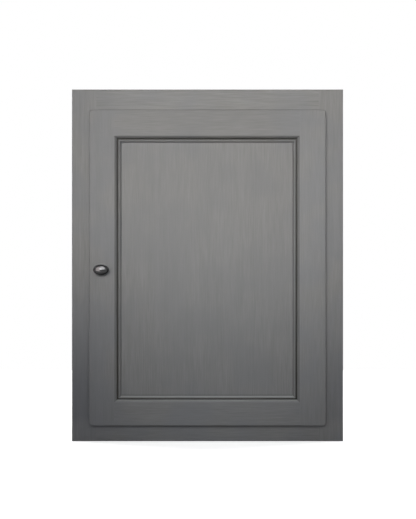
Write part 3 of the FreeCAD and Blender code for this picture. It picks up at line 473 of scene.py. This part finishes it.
def satin(tree, base, bristles, look, roughness):
    """A satin surface with the bristles' fine lines in it."""
    return Signal.node(tree, "BsdfPrincipled", {}, {
        "Base Color": base,
        "Roughness": roughness + look.rough_lines * bristles.centred(),
        "Specular IOR Level": look.specular,
        "Normal": relief(tree, bristles, look.bristle_depth, look.bristle_relief),
    })


def brushed_paint(name, look, light_layers=()):
    """Satin paint on one board.

    Each layer is a colour and a function that gives the share of a place that the colour covers. The layers
    are painted shade, or pale dust with painted highlight.
    """
    material, tree = new_material(f"paint_{name}")
    place = object_place(tree)
    base, bristles = painted_colour(tree, place, node_box(name), look, BOARDS.get(name, Board()))
    for tint, cover in light_layers:
        base = blend(tree, cover(tree, place), base, opaque(tint))
    close(tree, satin(tree, base, bristles, look, look.roughness))
    return material


def bare_wood(tree, place, wood):
    """The colour of a plain-sawn veneer.

    Its rings stand side by side across the board, bent by slow noise. Each one darkens from its early
    to its late wood and ends sharply, and fine fibres run up through them all.
    """
    bend = stretched_noise(tree, place, streak(wood.bend, wood.bend_reach), detail=1.0)
    ring = ((split(tree, place)[0] + wood.bend * bend) * (1 / wood.ring)).fraction()
    late = ring.ramp(*RING_DARKENS) * ring.ramp(*RING_ENDS)
    fibres = stretched_noise(tree, place, streak(wood.fibre, wood.fibre_reach), detail=3.0)
    darkness = wood.ring_mark * late + wood.fibre_mark * (fibres - wood.fibre_pale)
    return blend(tree, darkness, opaque(wood.pale), opaque(wood.dark))


def half_bare_board(name, look, wood):
    """A back panel painted inside, with the bare grain of its rear face."""
    material, tree = new_material(f"board_{name}")
    place = object_place(tree)
    box = node_box(name)
    painted, bristles = painted_colour(tree, place, box, look, Board())
    rear_face = float(box[1][1])
    rear = split(tree, place)[1].ramp(rear_face - wood.skin, rear_face - wood.skin / 2)
    base = blend(tree, rear, painted, bare_wood(tree, place, wood))
    roughness = look.roughness + (wood.roughness - look.roughness) * rear
    close(tree, satin(tree, base, bristles, look, roughness))
    return material


# Painted shade and painted highlight on the paint, with some pale dust

class Stripe(NamedTuple):
    """A soft line of dust or glaze: its strength, and how far from its middle it is full and is gone."""
    strength: float
    full: float
    gone: float

    def at(self, distance):
        """The share that the line covers at a distance from its middle."""
        return self.strength * abs(distance).ramp(self.gone, self.full)


class Side(NamedTuple):
    """How painted shade lies on one side of the panel's moulding.

    Axis and inward give the direction across it, from its outer edge to its inner one. Quirk is the
    middle of the painted shade in its quirk, from the outer edge, and half is half of its width. Foot is how
    far the painted shade line at the foot is from the inner edge, step is the strength of the painted shade
    line on the outer step, and the third field multiplies the thin painted shade on its slopes.
    """
    axis: int
    inward: int
    slope_shade: float
    quirk: float = 0.0067
    half: float = 0.0015
    foot: float = 0.0024
    step: float = 0.35


# Each side's share of thin painted shade on its slopes is larger where its slopes face away from the light,
# which comes from above and the left
SIDES = {
    "left": Side(axis=0, inward=1, slope_shade=1.2),
    "right": Side(axis=0, inward=-1, slope_shade=0.7),
    "bottom": Side(axis=2, inward=1, slope_shade=1.0, quirk=0.0072, half=0.0012, foot=0.0, step=0.0),
    "top": Side(axis=2, inward=-1, slope_shade=1.5),
}

# Painted highlight lines on the moulding's ridges, painted shade lines at its foot, and the painted shade
# line on the panel where it meets the moulding below it
RIDGE_HIGHLIGHT = Stripe(strength=0.55, full=0.0007, gone=0.0014)
FOOT_SHADE = Stripe(strength=0.42, full=0.0005, gone=0.0013)
LEDGE_SHADE = Stripe(strength=0.45, full=0.0004, gone=0.0012)

# The painted shade in the quirk: its strength, and where it is full and is gone, in halves of its width
QUIRK_STRENGTH, QUIRK_FULL, QUIRK_GONE = 0.97, 0.9, 1.2

# Where the painted shade line on the outer step is full and is gone
STEP_FULL, STEP_GONE = 0.0005, 0.0011

# From the edge of the quirk's painted shade to the lip
LIP_INSET = 0.0013

# From the moulding's inner edge to the bead's crest, and from its outer edge to the line on the step
CREST_INSET = 0.0022
STEP_INSET = 0.0009

# Width over which the thin painted shade on slopes ends at the painted shade line at the foot
SHADE_EDGE = 0.001

# How far a slope faces up where pale dust with painted highlight, or thin painted shade, begins, and where it
# is full
HIGHLIGHTED_SLOPE = (0.12, 0.5)
SHADED_SLOPE = (0.3, -0.1)
SHADED_BELOW = (-0.1, -0.6)


def painted_foot_shade(low_shade, painted_light):
    """Painted shade on the foot of a stile, darker towards the bottom, as a given share of it; it fades
    upwards and at the very bottom.
    """
    def cover(tree, place):
        height = split(tree, place)[2]
        fading = height.ramp(painted_light.shade_top, painted_light.shade_full)
        return low_shade * fading * height.ramp(painted_light.shade_foot, painted_light.shade_rise)

    return cover


def across_moulding(tree, place, name, side):
    """How far a place is from the outer edge of one side of the moulding, and that side's width."""
    low, high = node_box(name)
    outer = float((low if side.inward > 0 else high)[side.axis])
    return side.inward * (split(tree, place)[side.axis] - outer), float((high - low)[side.axis])


def moulding_dust_and_highlight(name, side, painted_light):
    """Pale dust and painted highlight on the moulding's slopes that face up, with painted highlight lines
    most of all on the quirk's lip and the bead's crest.
    """
    def cover(tree, place):
        across, width = across_moulding(tree, place, name, side)
        lip = RIDGE_HIGHLIGHT.at(across - (side.quirk - side.half - LIP_INSET))
        crest = RIDGE_HIGHLIGHT.at(across - (width - CREST_INSET))
        return facing_up(tree).ramp(*HIGHLIGHTED_SLOPE) * (painted_light.slope_dust_and_highlight + lip.larger(crest))

    return cover


def moulding_shade(name, side, painted_light):
    """Painted shade in the quirk, in lines at the foot and on the outer step, and thin on slopes.

    The thin painted shade lies on slopes that face forwards, and is darker on those that face down, away from
    the light above.
    """
    def cover(tree, place):
        across, width = across_moulding(tree, place, name, side)
        quirk = Stripe(QUIRK_STRENGTH, QUIRK_FULL * side.half, QUIRK_GONE * side.half).at(across - side.quirk)
        foot = FOOT_SHADE.at(across - (width - side.foot))
        step = Stripe(side.step, STEP_FULL, STEP_GONE).at(across - STEP_INSET)
        up = facing_up(tree)
        slope = painted_light.slope_shade * up.ramp(*SHADED_SLOPE) + painted_light.slope_shade_below * up.ramp(*SHADED_BELOW)
        slope_shade = side.slope_shade * slope * across.ramp(width - side.foot + SHADE_EDGE, width - side.foot)
        return quirk.larger(foot).larger(step).larger(slope_shade)

    return cover


def ledge_shade():
    """A painted shade line on the panel's front, where it meets the moulding below it."""
    ledge = float(node_box("panel_moulding_bottom")[1][2])
    face, rear = (float(corner[1]) for corner in node_box("door_panel"))

    def cover(tree, place):
        _, depth, height = split(tree, place)
        return LEDGE_SHADE.at(height - ledge) * depth.ramp(rear, face)

    return cover


# Metal and plastic

def metal(name, finish, tint, roughness, edge=WHITE):
    """Metal with a cloudy polish and fine rubbing marks."""
    material, tree = new_material(name)
    place = object_place(tree)
    cloud = stretched_noise(tree, place, [finish.cloud] * 3)
    marks = stretched_noise(tree, place, streak(finish.scratch, finish.scratch_reach))
    dark, pale = opaque(tint, 1 - finish.cloud_tone), opaque(tint, 1 + finish.cloud_tone)
    close(tree, Signal.node(tree, "BsdfPrincipled", {}, {
        "Base Color": blend(tree, cloud, dark, pale),
        "Metallic": 1.0,
        "Roughness": roughness * (1 + 2 * finish.cloud_polish * cloud.centred()),
        "Specular Tint": opaque(edge),
        "Normal": relief(tree, marks, finish.scratch_depth, finish.scratch_relief),
    }))
    return material


def moulded_plastic(name, finish, tint, roughness, clear=0.0):
    """Plastic with the fine grain of its mould."""
    material, tree = new_material(name)
    place = object_place(tree)
    grain = stretched_noise(tree, place, [finish.grain] * 3)
    cloud = stretched_noise(tree, place, [finish.cloud] * 3)
    close(tree, Signal.node(tree, "BsdfPrincipled", {}, {
        "Base Color": blend(tree, cloud, opaque(tint, 1 - finish.cloud_tone), opaque(tint)),
        "Roughness": roughness + finish.rough_grain * grain.centred(),
        "Transmission Weight": clear,
        "Normal": relief(tree, grain, finish.grain_depth, finish.grain_relief),
    }))
    return material


def dress(node, material):
    """Gives a CAD node its finish."""
    slots = frame["nodes"][node].data.materials
    slots.clear()
    slots.append(material)


# Surfaces

# Each list holds the directions of a surface's own axes: across, up and along
AXES = {
    "-Y": [(1, 0, 0), (0, 0, 1), (0, -1, 0)],
    "+Y": [(0, 0, 1), (1, 0, 0), (0, 1, 0)],
    "-X": [(0, 0, 1), (0, 1, 0), (-1, 0, 0)],
    "+X": [(0, 1, 0), (0, 0, 1), (1, 0, 0)],
}

# The way that each screw's head faces, and the screws with a square end
SCREW_HEADS = {
    "hinge_cup_screws": "+Y",
    "hinge_plate_screws": "-X",
    "hinge_arm_screws": "-X",
    "catch_screws": "+X",
    "strike_screws": "+Y",
    "knob_screw": "+Y",
}
SQUARE_ENDED = ("hinge_arm_screws", "knob_screw")

# Like pieces that share a node are at least this far apart in height
CLEAR_HEIGHT = 0.008

# Faces that meet at a smaller angle look like one round surface
SMOOTH_ANGLE = math.radians(40)


def closed_round(rings, first_pole, last_pole):
    """The corners, quads and triangles of a closed surface.

    Rings is a grid of points: rows go along the surface's axis and columns round it. Each row is joined
    to the next by quads, and the end rows to their poles by fans of triangles.
    """
    rows, around, _ = rings.shape
    corners = np.concatenate([[first_pole], rings.reshape(-1, 3), [last_pole]])
    here = np.arange(around)
    there = (here + 1) % around
    start = 1 + around * np.arange(rows - 1)[:, None]
    quads = np.stack([start + here, start + there, start + around + there, start + around + here], -1)
    last = 1 + around * (rows - 1)
    fans = np.concatenate([
        np.stack([np.zeros(around, int), 1 + there, 1 + here], -1),
        np.stack([np.full(around, len(corners) - 1), last + here, last + there], -1),
    ])
    return corners, quads.reshape(-1, 4), fans


def oval_rings(halves, levels, around):
    """A grid of points whose rows are ovals.

    A point is half the oval's width times the cosine of the angle round it, half its height times the
    sine, and the oval's level.
    """
    angle = np.linspace(0, 2 * np.pi, around, endpoint=False)
    level = np.repeat(levels[:, None], around, 1)
    return np.stack([halves[:, :1] * np.cos(angle), halves[:, 1:] * np.sin(angle), level], -1)


def repeated(surface, axes, origins):
    """Copies of a surface, its own axes turned to the rows of axes, one at each origin."""
    corners, quads, fans = surface
    origins = np.array(origins)
    offsets = len(corners) * np.arange(len(origins))[:, None, None]
    placed = (corners @ np.array(axes, float))[None] + origins[:, None]
    return placed.reshape(-1, 3), (quads + offsets).reshape(-1, 4), (fans + offsets).reshape(-1, 3)


def knob_surface(knob, size, around=96, edge_rows=9, neck_rows=41, rim_rows=17, crown_rows=49):
    """An oval knob. Each ring is an oval, and half its width follows the level above the door.

    The foot is a short cylinder with a rounded edge. On the neck the width grows from the waist with a
    power of the distance from it, to the foot's below and to the head's above. The rim is a half round,
    and the crown is half of an ellipsoid.
    """
    width, height, projection = size
    foot = np.array([knob.foot_width, knob.foot_height]) / 2
    neck = np.array([knob.neck_width, knob.neck_height]) / 2
    head = np.array([width, height]) / 2
    edge = knob.rim / 2
    rim_low = projection - knob.crown - knob.rim
    turn = np.linspace(0, np.pi / 2, edge_rows)
    foot_edge = foot - edge * (1 - np.cos(turn))[:, None]
    foot_level = knob.foot_thick - edge + edge * np.sin(turn)
    fall = np.linspace(-1, 1, neck_rows)
    ends = np.where(fall[:, None] < 0, foot - edge, head - edge)
    neck_half = neck + (ends - neck) * np.abs(fall[:, None]) ** knob.flare
    neck_level = knob.foot_thick + (rim_low - knob.foot_thick) * (fall + 1) / 2
    bulge = np.linspace(-np.pi / 2, np.pi / 2, rim_rows)[1:]
    rim_half = head - edge * (1 - np.cos(bulge))[:, None]
    rim_level = rim_low + edge * (1 + np.sin(bulge))
    rise = np.linspace(0, np.pi / 2, crown_rows)[1:-1]
    crown_half = (head - edge) * np.cos(rise)[:, None]
    crown_level = projection - knob.crown + knob.crown * np.sin(rise)
    halves = np.concatenate([foot[None], foot_edge, neck_half[1:], rim_half, crown_half])
    levels = np.concatenate([[0], foot_level, neck_level[1:], rim_level, crown_level])
    return closed_round(oval_rings(halves, levels, around), (0, 0, 0), (0, 0, projection))


def screw_surface(screws, head_radius, shank_length, pointed, around=48, turn_rows=7, shoulder_rows=9,
                  top_rows=22):
    """A screw along its axis, the seat of its head at 0 and its end below.

    The thread takes a triangle wave of the height in turns less the angle off the shank's radius. The
    head has a rounded shoulder, and a cross of two tapered slots is sunk in its top.
    """
    angle = np.linspace(0, 2 * np.pi, around, endpoint=False)
    thick = screws.head * head_radius
    crest = screws.shank * head_radius
    point = screws.point if pointed else screws.thread
    shank_rows = max(turn_rows + 1, int(shank_length / screws.pitch * turn_rows))
    levels = np.linspace(-shank_length, 0, shank_rows)[1:]
    turns = levels[:, None] / screws.pitch - angle / (2 * np.pi)
    wave = np.abs(2 * (turns - np.floor(turns)) - 1)
    taper = np.clip((levels + shank_length) / point, 0, 1)[:, None]
    plain = np.clip(-levels / screws.pitch, 0, 1)[:, None]
    shank = taper * (crest - screws.thread * wave * plain)
    bend = np.linspace(0, np.pi / 2, shoulder_rows)
    shoulder = head_radius - thick / 2 * (1 - np.cos(bend))
    shoulder_level = thick / 2 * (1 + np.sin(bend))
    top = (head_radius - thick / 2) * np.linspace(1, 0, top_rows)[1:-1]
    head = np.concatenate([[head_radius], shoulder, top])
    radii = np.concatenate([shank, np.repeat(head[:, None], around, 1)])
    heights = np.concatenate([levels, [0], shoulder_level, np.full(len(top), thick)])
    on_top = np.concatenate([np.zeros(len(heights) - len(top)), np.ones(len(top))])
    across, up = radii * np.cos(angle), radii * np.sin(angle)

    def slot(along, aside):
        wall = screws.recess_wall * (1 - np.abs(aside) / (screws.recess_width * head_radius))
        end = screws.recess_end * (1 - np.abs(along) / (screws.recess_reach * head_radius))
        return np.clip(wall, 0, 1) * np.clip(end, 0, 1)

    depth = screws.recess_depth * thick
    sunk = depth * np.maximum(slot(across, up), slot(up, across)) * on_top[:, None]
    rings = np.stack([across, up, heights[:, None] - sunk], -1)
    return closed_round(rings, (0, 0, -shank_length), (0, 0, thick - depth))


def bumper_surface(bumpers, radius, thick, around=40, rows=15):
    """A soft stop: a short straight edge, then a dome up to its middle.

    On the dome the height follows the sine of an angle, and the radius a power of its cosine.
    """
    rise = np.linspace(0, np.pi / 2, rows)[:-1]
    edge = bumpers.edge * thick
    radii = np.concatenate([[radius], radius * np.cos(rise) ** bumpers.fullness])
    levels = np.concatenate([[0], edge + (thick - edge) * np.sin(rise)])
    return closed_round(oval_rings(np.stack([radii, radii], -1), levels, around), (0, 0, 0), (0, 0, thick))


def floor_surface(width, level, steps=8):
    """The corners and quads of a level square: both of its parameters run evenly from side to side."""
    run = np.linspace(-width / 2, width / 2, steps + 1)
    x, y = np.meshgrid(run, run, indexing="ij")
    corners = np.stack([x, y, np.full_like(x, level)], -1).reshape(-1, 3)
    row = steps + 1
    start = (row * np.arange(steps)[:, None] + np.arange(steps)).reshape(-1)
    return corners, np.stack([start, start + row, start + row + 1, start + 1], -1)


def add_piece(name, surface, node, material):
    """A new piece that stands for a CAD node and moves with its body."""
    corners, quads, fans = surface
    mesh = bpy.data.meshes.new(name)
    mesh.from_pydata(corners.tolist(), [], quads.tolist() + fans.tolist())
    mesh.shade_smooth()
    mesh.set_sharp_from_angle(angle=SMOOTH_ANGLE)
    mesh.materials.append(material)
    piece = bpy.data.objects.new(name, mesh)
    bpy.context.scene.collection.objects.link(piece)
    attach(piece, frame["nodes"][node]["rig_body"])
    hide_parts(node)


def separate_boxes(node):
    """The box of each of a node's solids, from the lowest up, parted at the clear heights between them."""
    mesh = frame["nodes"][node].data
    corners = np.empty(3 * len(mesh.vertices), np.float32)
    mesh.vertices.foreach_get("co", corners)
    corners = corners.reshape(-1, 3).astype(float)
    corners = corners[np.argsort(corners[:, 2])]
    cuts = np.flatnonzero(np.diff(corners[:, 2]) > CLEAR_HEIGHT) + 1
    return [(solid.min(0), solid.max(0)) for solid in np.split(corners, cuts)]


def middle_at(box, depth):
    """The middle of a box, moved along Y to a depth."""
    x, _, z = (box[0] + box[1]) / 2
    return x, depth, z


# Operators for the pieces

CASE_BOARDS = (
    "side_panel_left", "side_panel_right", "top_panel", "bottom_panel",
    "frame_stile_left", "frame_stile_right", "frame_rail_top", "frame_rail_bottom",
    "shelf_lower", "shelf_upper", "hanging_rail_lower", "hanging_rail_upper",
)
DOOR_BOARDS = ("door_stile_left", "door_stile_right", "door_rail_top", "door_rail_bottom")


def settings(context):
    return context.scene.cupboard


def paint_boards(names, cupboard):
    """Paints boards, with painted shade at the foot of those that have it, darker towards the bottom."""
    for name in names:
        low_shade = BOARDS.get(name, Board()).low_shade
        # Painted shade at the foot, darker towards the bottom
        painted_light = [(cupboard.light_layers.low_shade, painted_foot_shade(low_shade, cupboard.light_layers))] if low_shade else []
        dress(name, brushed_paint(name, cupboard.paint, painted_light))


class CUPBOARD_OT_case(bpy.types.Operator):
    """Paint the boards of the case, its face frame and its shelves"""
    bl_idname = "cupboard.case"
    bl_label = "Paint the case"

    def execute(self, context):
        cupboard = settings(context)
        paint_boards(CASE_BOARDS, cupboard)
        dress("back_panel", half_bare_board("back_panel", cupboard.paint, cupboard.board))
        return {"FINISHED"}


class CUPBOARD_OT_door(bpy.types.Operator):
    """Paint the door's frame, its panel and the moulding round it"""
    bl_idname = "cupboard.door"
    bl_label = "Paint the door"

    def execute(self, context):
        cupboard = settings(context)
        look, painted_light = cupboard.paint, cupboard.light_layers
        paint_boards(DOOR_BOARDS, cupboard)
        # A painted shade line on the panel where it meets the moulding below it
        dress("door_panel", brushed_paint("door_panel", look, [(painted_light.painted_shade, ledge_shade())]))
        for place, side in SIDES.items():
            name = f"panel_moulding_{place}"
            # Pale dust with painted highlight on slopes that face up, and painted shade in the quirk, in
            # lines and on slopes
            dust_and_highlight = (painted_light.dust_and_highlight, moulding_dust_and_highlight(name, side, painted_light))
            painted_shade = (painted_light.painted_shade, moulding_shade(name, side, painted_light))
            dress(name, brushed_paint(name, look, [dust_and_highlight, painted_shade]))
        return {"FINISHED"}


class CUPBOARD_OT_knob(bpy.types.Operator):
    """Make the oval knob"""
    bl_idname = "cupboard.knob"
    bl_label = "Make the knob"

    def execute(self, context):
        cupboard = settings(context)
        finish = cupboard.metal
        box = node_box("knob")
        width, projection, height = box[1] - box[0]
        surface = knob_surface(cupboard.knob, (width, height, projection))
        polished = metal("polished_knob", finish, finish.knob, finish.knob_roughness, finish.knob_edge)
        seats = [middle_at(box, box[1][1])]
        add_piece("oval_knob", repeated(surface, AXES["-Y"], seats), "knob", polished)
        return {"FINISHED"}


class CUPBOARD_OT_screws(bpy.types.Operator):
    """Make the screws, with their threads and cross recesses"""
    bl_idname = "cupboard.screws"
    bl_label = "Make the screws"

    def execute(self, context):
        screws = settings(context).screws
        finish = settings(context).metal
        plated = metal("plated_screws", finish, finish.steel, finish.steel_roughness)
        for node, facing in SCREW_HEADS.items():
            boxes = separate_boxes(node)
            axes = np.array(AXES[facing], float)
            along = int(np.argmax(np.abs(axes[2])))
            size = boxes[0][1] - boxes[0][0]
            head_radius = float(np.delete(size, along).max()) / 2
            thick = screws.head * head_radius
            seats = [(low + high) / 2 + axes[2] * (size[along] / 2 - thick) for low, high in boxes]
            surface = screw_surface(screws, head_radius, float(size[along]) - thick, node not in SQUARE_ENDED)
            add_piece(f"threaded_{node}", repeated(surface, axes, seats), node, plated)
        return {"FINISHED"}


class CUPBOARD_OT_fittings(bpy.types.Operator):
    """Finish the hinges, the catch, its strike, the shelf pins and the nails"""
    bl_idname = "cupboard.fittings"
    bl_label = "Finish the fittings"

    def execute(self, context):
        finish, plastic = settings(context).metal, settings(context).plastic
        plated = metal("plated_steel", finish, finish.steel, finish.steel_roughness)
        for level in ("lower", "upper"):
            for piece in ("cup", "pin", "arm", "plate"):
                dress(f"hinge_{piece}_{level}", plated)
        for name in ("strike_plate", "shelf_pins", "back_panel_nails"):
            dress(name, plated)
        dress("catch_magnet", metal("ground_magnet", finish, finish.magnet, finish.magnet_roughness))
        dress("catch_body", moulded_plastic("catch_plastic", plastic, plastic.case, plastic.case_roughness))
        return {"FINISHED"}


class CUPBOARD_OT_bumpers(bpy.types.Operator):
    """Make the soft stops behind the door"""
    bl_idname = "cupboard.bumpers"
    bl_label = "Make the bumpers"

    def execute(self, context):
        cupboard = settings(context)
        plastic = cupboard.plastic
        boxes = separate_boxes("door_bumpers")
        width, thick, _ = (boxes[0][1] - boxes[0][0]).tolist()
        surface = bumper_surface(cupboard.bumpers, width / 2, thick)
        seats = [middle_at(box, box[0][1]) for box in boxes]
        soft = moulded_plastic("clear_bumpers", plastic, plastic.bumper, plastic.bumper_roughness,
                               plastic.bumper_clear)
        add_piece("soft_bumpers", repeated(surface, AXES["+Y"], seats), "door_bumpers", soft)
        return {"FINISHED"}


# The stage

class Lamp(NamedTuple):
    """A softbox, which the camera doesn't see.

    Power names the setting that holds its power. Its place and its target are measured from what it
    lights, and its grid keeps the light within spread degrees.
    """
    power: str
    place: tuple
    target: tuple
    size: tuple
    spread: float = 180
    tint: tuple = WHITE


# Measured from the front of the face frame, at its foot
FRONT_LAMPS = {
    "key": Lamp("key", (-0.085, -1.1, 0.855), (0.085, 0, 0.695), (0.94, 0.85), 35, (1, 0.995, 0.978)),
    "low": Lamp("low", (-0.20, -1.6, 0.48), (0.04, 0, 0.15), (0.40, 0.40), 30, (0.88, 0.945, 1)),
    "front": Lamp("front", (0.34, -2.2, 0.75), (-0.80, 0, 0.45), (0.8, 0.7), tint=(0.95, 0.98, 1)),
}

# Measured from the middle of the knob
KNOB_LAMPS = {
    "shine": Lamp("shine", (0.16, -0.5, 0.60), (0.16, 0, 0.60), (0.53, 1.1)),
    "blush": Lamp("blush", (-0.42, -0.5, 0.22), (-0.42, 0, 0.22), (0.64, 1.3), tint=(1, 0.9, 0.88)),
}

# Measured from the middle of the cupboard, on the floor
REAR_LAMPS = {
    "side_left": Lamp("rear", (-2.2, 1.2, 1.7), (0, 0.1, 0.36), (1.2, 1.6)),
    "side_right": Lamp("rear", (2.2, 1.2, 1.7), (0, 0.1, 0.36), (1.2, 1.6)),
}


def seen_directly(tree):
    """1 for what the camera sees, straight or in metal or glass, and 0 for light thrown about."""
    path = Signal.node(tree, "LightPath").socket.node.outputs
    camera, glossy, clear = (Signal(path[f"Is {kind} Ray"]) for kind in ("Camera", "Glossy", "Transmission"))
    return camera.larger(glossy).larger(clear)


def pale_floor(stage):
    """A floor that is white to the eye but for its shadows, and dim in the light that it throws back."""
    material, tree = new_material("pale_floor")
    lit = Signal.node(tree, "BsdfDiffuse", {}, {"Color": opaque(stage.pale)})
    white = Signal.node(tree, "Emission", {}, {"Color": opaque(WHITE), "Strength": stage.lift})
    dim = Signal.node(tree, "BsdfDiffuse", {}, {"Color": opaque(stage.bounce)})
    to_eye = Signal.node(tree, "AddShader", {}, {0: white, 1: lit})
    close(tree, Signal.node(tree, "MixShader", {}, {0: seen_directly(tree), 1: dim, 2: to_eye}))
    return material


def make_floor(stage):
    """A level floor just under the cupboard."""
    corners, quads = floor_surface(stage.floor, -stage.floor_drop)
    mesh = bpy.data.meshes.new("floor")
    mesh.from_pydata(corners.tolist(), [], quads.tolist())
    mesh.materials.append(pale_floor(stage))
    floor = bpy.data.objects.new("floor", mesh)
    bpy.context.scene.collection.objects.link(floor)


def light_world(stage):
    """A world that is white to the eye and gives an even fill."""
    world = bpy.data.worlds.new("studio")
    world.use_nodes = True
    tree = world.node_tree
    tree.nodes.clear()
    fill = Signal.node(tree, "Background", {}, {"Color": opaque(stage.fill), "Strength": 1.0})
    white = Signal.node(tree, "Background", {}, {"Color": opaque(WHITE), "Strength": 1.0})
    mixed = Signal.node(tree, "MixShader", {}, {0: seen_directly(tree), 1: fill, 2: white})
    Signal.node(tree, "OutputWorld", {}, {"Surface": mixed})
    bpy.context.scene.world = world


def softboxes(lamps, stage, origin, only=None):
    """Hangs lamps round an origin. They shine on everything, or only on one piece."""
    for name, lamp in lamps.items():
        light = bpy.data.lights.new(name, "AREA")
        light.shape = "RECTANGLE"
        light.size, light.size_y = lamp.size
        light.energy = getattr(stage, lamp.power)
        light.color = lamp.tint
        light.spread = math.radians(lamp.spread)
        hung = bpy.data.objects.new(name, light)
        hung.location = Vector(origin) + Vector(lamp.place)
        aim = Vector(lamp.target) - Vector(lamp.place)
        hung.rotation_euler = aim.to_track_quat("-Z", "Y").to_euler()
        hung.visible_camera = False
        if only:
            hung.light_linking.receiver_collection = bpy.data.collections.new(f"lit_by_{name}")
            hung.light_linking.receiver_collection.objects.link(only)
        bpy.context.scene.collection.objects.link(hung)


def set_camera(stage, front):
    """A level camera, square to the front, whose lens takes in the view's height at the face frame."""
    camera = bpy.data.cameras.new("camera")
    camera.lens = camera.sensor_width * stage.distance / stage.view
    viewer = bpy.data.objects.new("camera", camera)
    viewer.location = (stage.aside, front - stage.distance, stage.eye)
    viewer.rotation_euler = (math.pi / 2, 0, 0)
    bpy.context.scene.collection.objects.link(viewer)
    bpy.context.scene.camera = viewer


class CUPBOARD_OT_stage(bpy.types.Operator):
    """Set the floor, the lamps and the camera"""
    bl_idname = "cupboard.stage"
    bl_label = "Set the stage"

    def execute(self, context):
        stage = settings(context).stage
        front = float(node_box("frame_stile_left")[0][1])
        low, high = node_box("knob")
        make_floor(stage)
        light_world(stage)
        softboxes(FRONT_LAMPS, stage, (0, front, 0))
        softboxes(KNOB_LAMPS, stage, (low + high) / 2, only=bpy.data.objects["oval_knob"])
        softboxes(REAR_LAMPS, stage, (0, 0, 0))
        set_camera(stage, front)
        context.scene.view_settings.view_transform = "Standard"
        return {"FINISHED"}


# The sidebar and the add-on

class CUPBOARD_PT_finishes(bpy.types.Panel):
    """Lists the steps that finish the cupboard"""
    bl_idname = "CUPBOARD_PT_finishes"
    bl_label = "Wall cupboard"
    bl_space_type = "VIEW_3D"
    bl_region_type = "UI"
    bl_category = "Cupboard"

    def draw(self, context):
        for operator in OPERATORS:
            self.layout.operator(operator.bl_idname)


OPERATORS = (
    CUPBOARD_OT_case,
    CUPBOARD_OT_door,
    CUPBOARD_OT_knob,
    CUPBOARD_OT_screws,
    CUPBOARD_OT_fittings,
    CUPBOARD_OT_bumpers,
    CUPBOARD_OT_stage,
)
CLASSES = (
    PaintSettings,
    PaintedLightSettings,
    BoardSettings,
    MetalSettings,
    PlasticSettings,
    KnobSettings,
    ScrewSettings,
    BumperSettings,
    StageSettings,
    CupboardSettings,
    *OPERATORS,
    CUPBOARD_PT_finishes,
)


def register():
    for added in CLASSES:
        bpy.utils.register_class(added)
    bpy.types.Scene.cupboard = PointerProperty(type=CupboardSettings)


def unregister():
    del bpy.types.Scene.cupboard
    for added in reversed(CLASSES):
        bpy.utils.unregister_class(added)


def main():
    register()
    bpy.ops.cupboard.case()
    bpy.ops.cupboard.door()
    bpy.ops.cupboard.knob()
    bpy.ops.cupboard.screws()
    bpy.ops.cupboard.fittings()
    bpy.ops.cupboard.bumpers()
    bpy.ops.cupboard.stage()


if __name__ == "__main__":
    main()
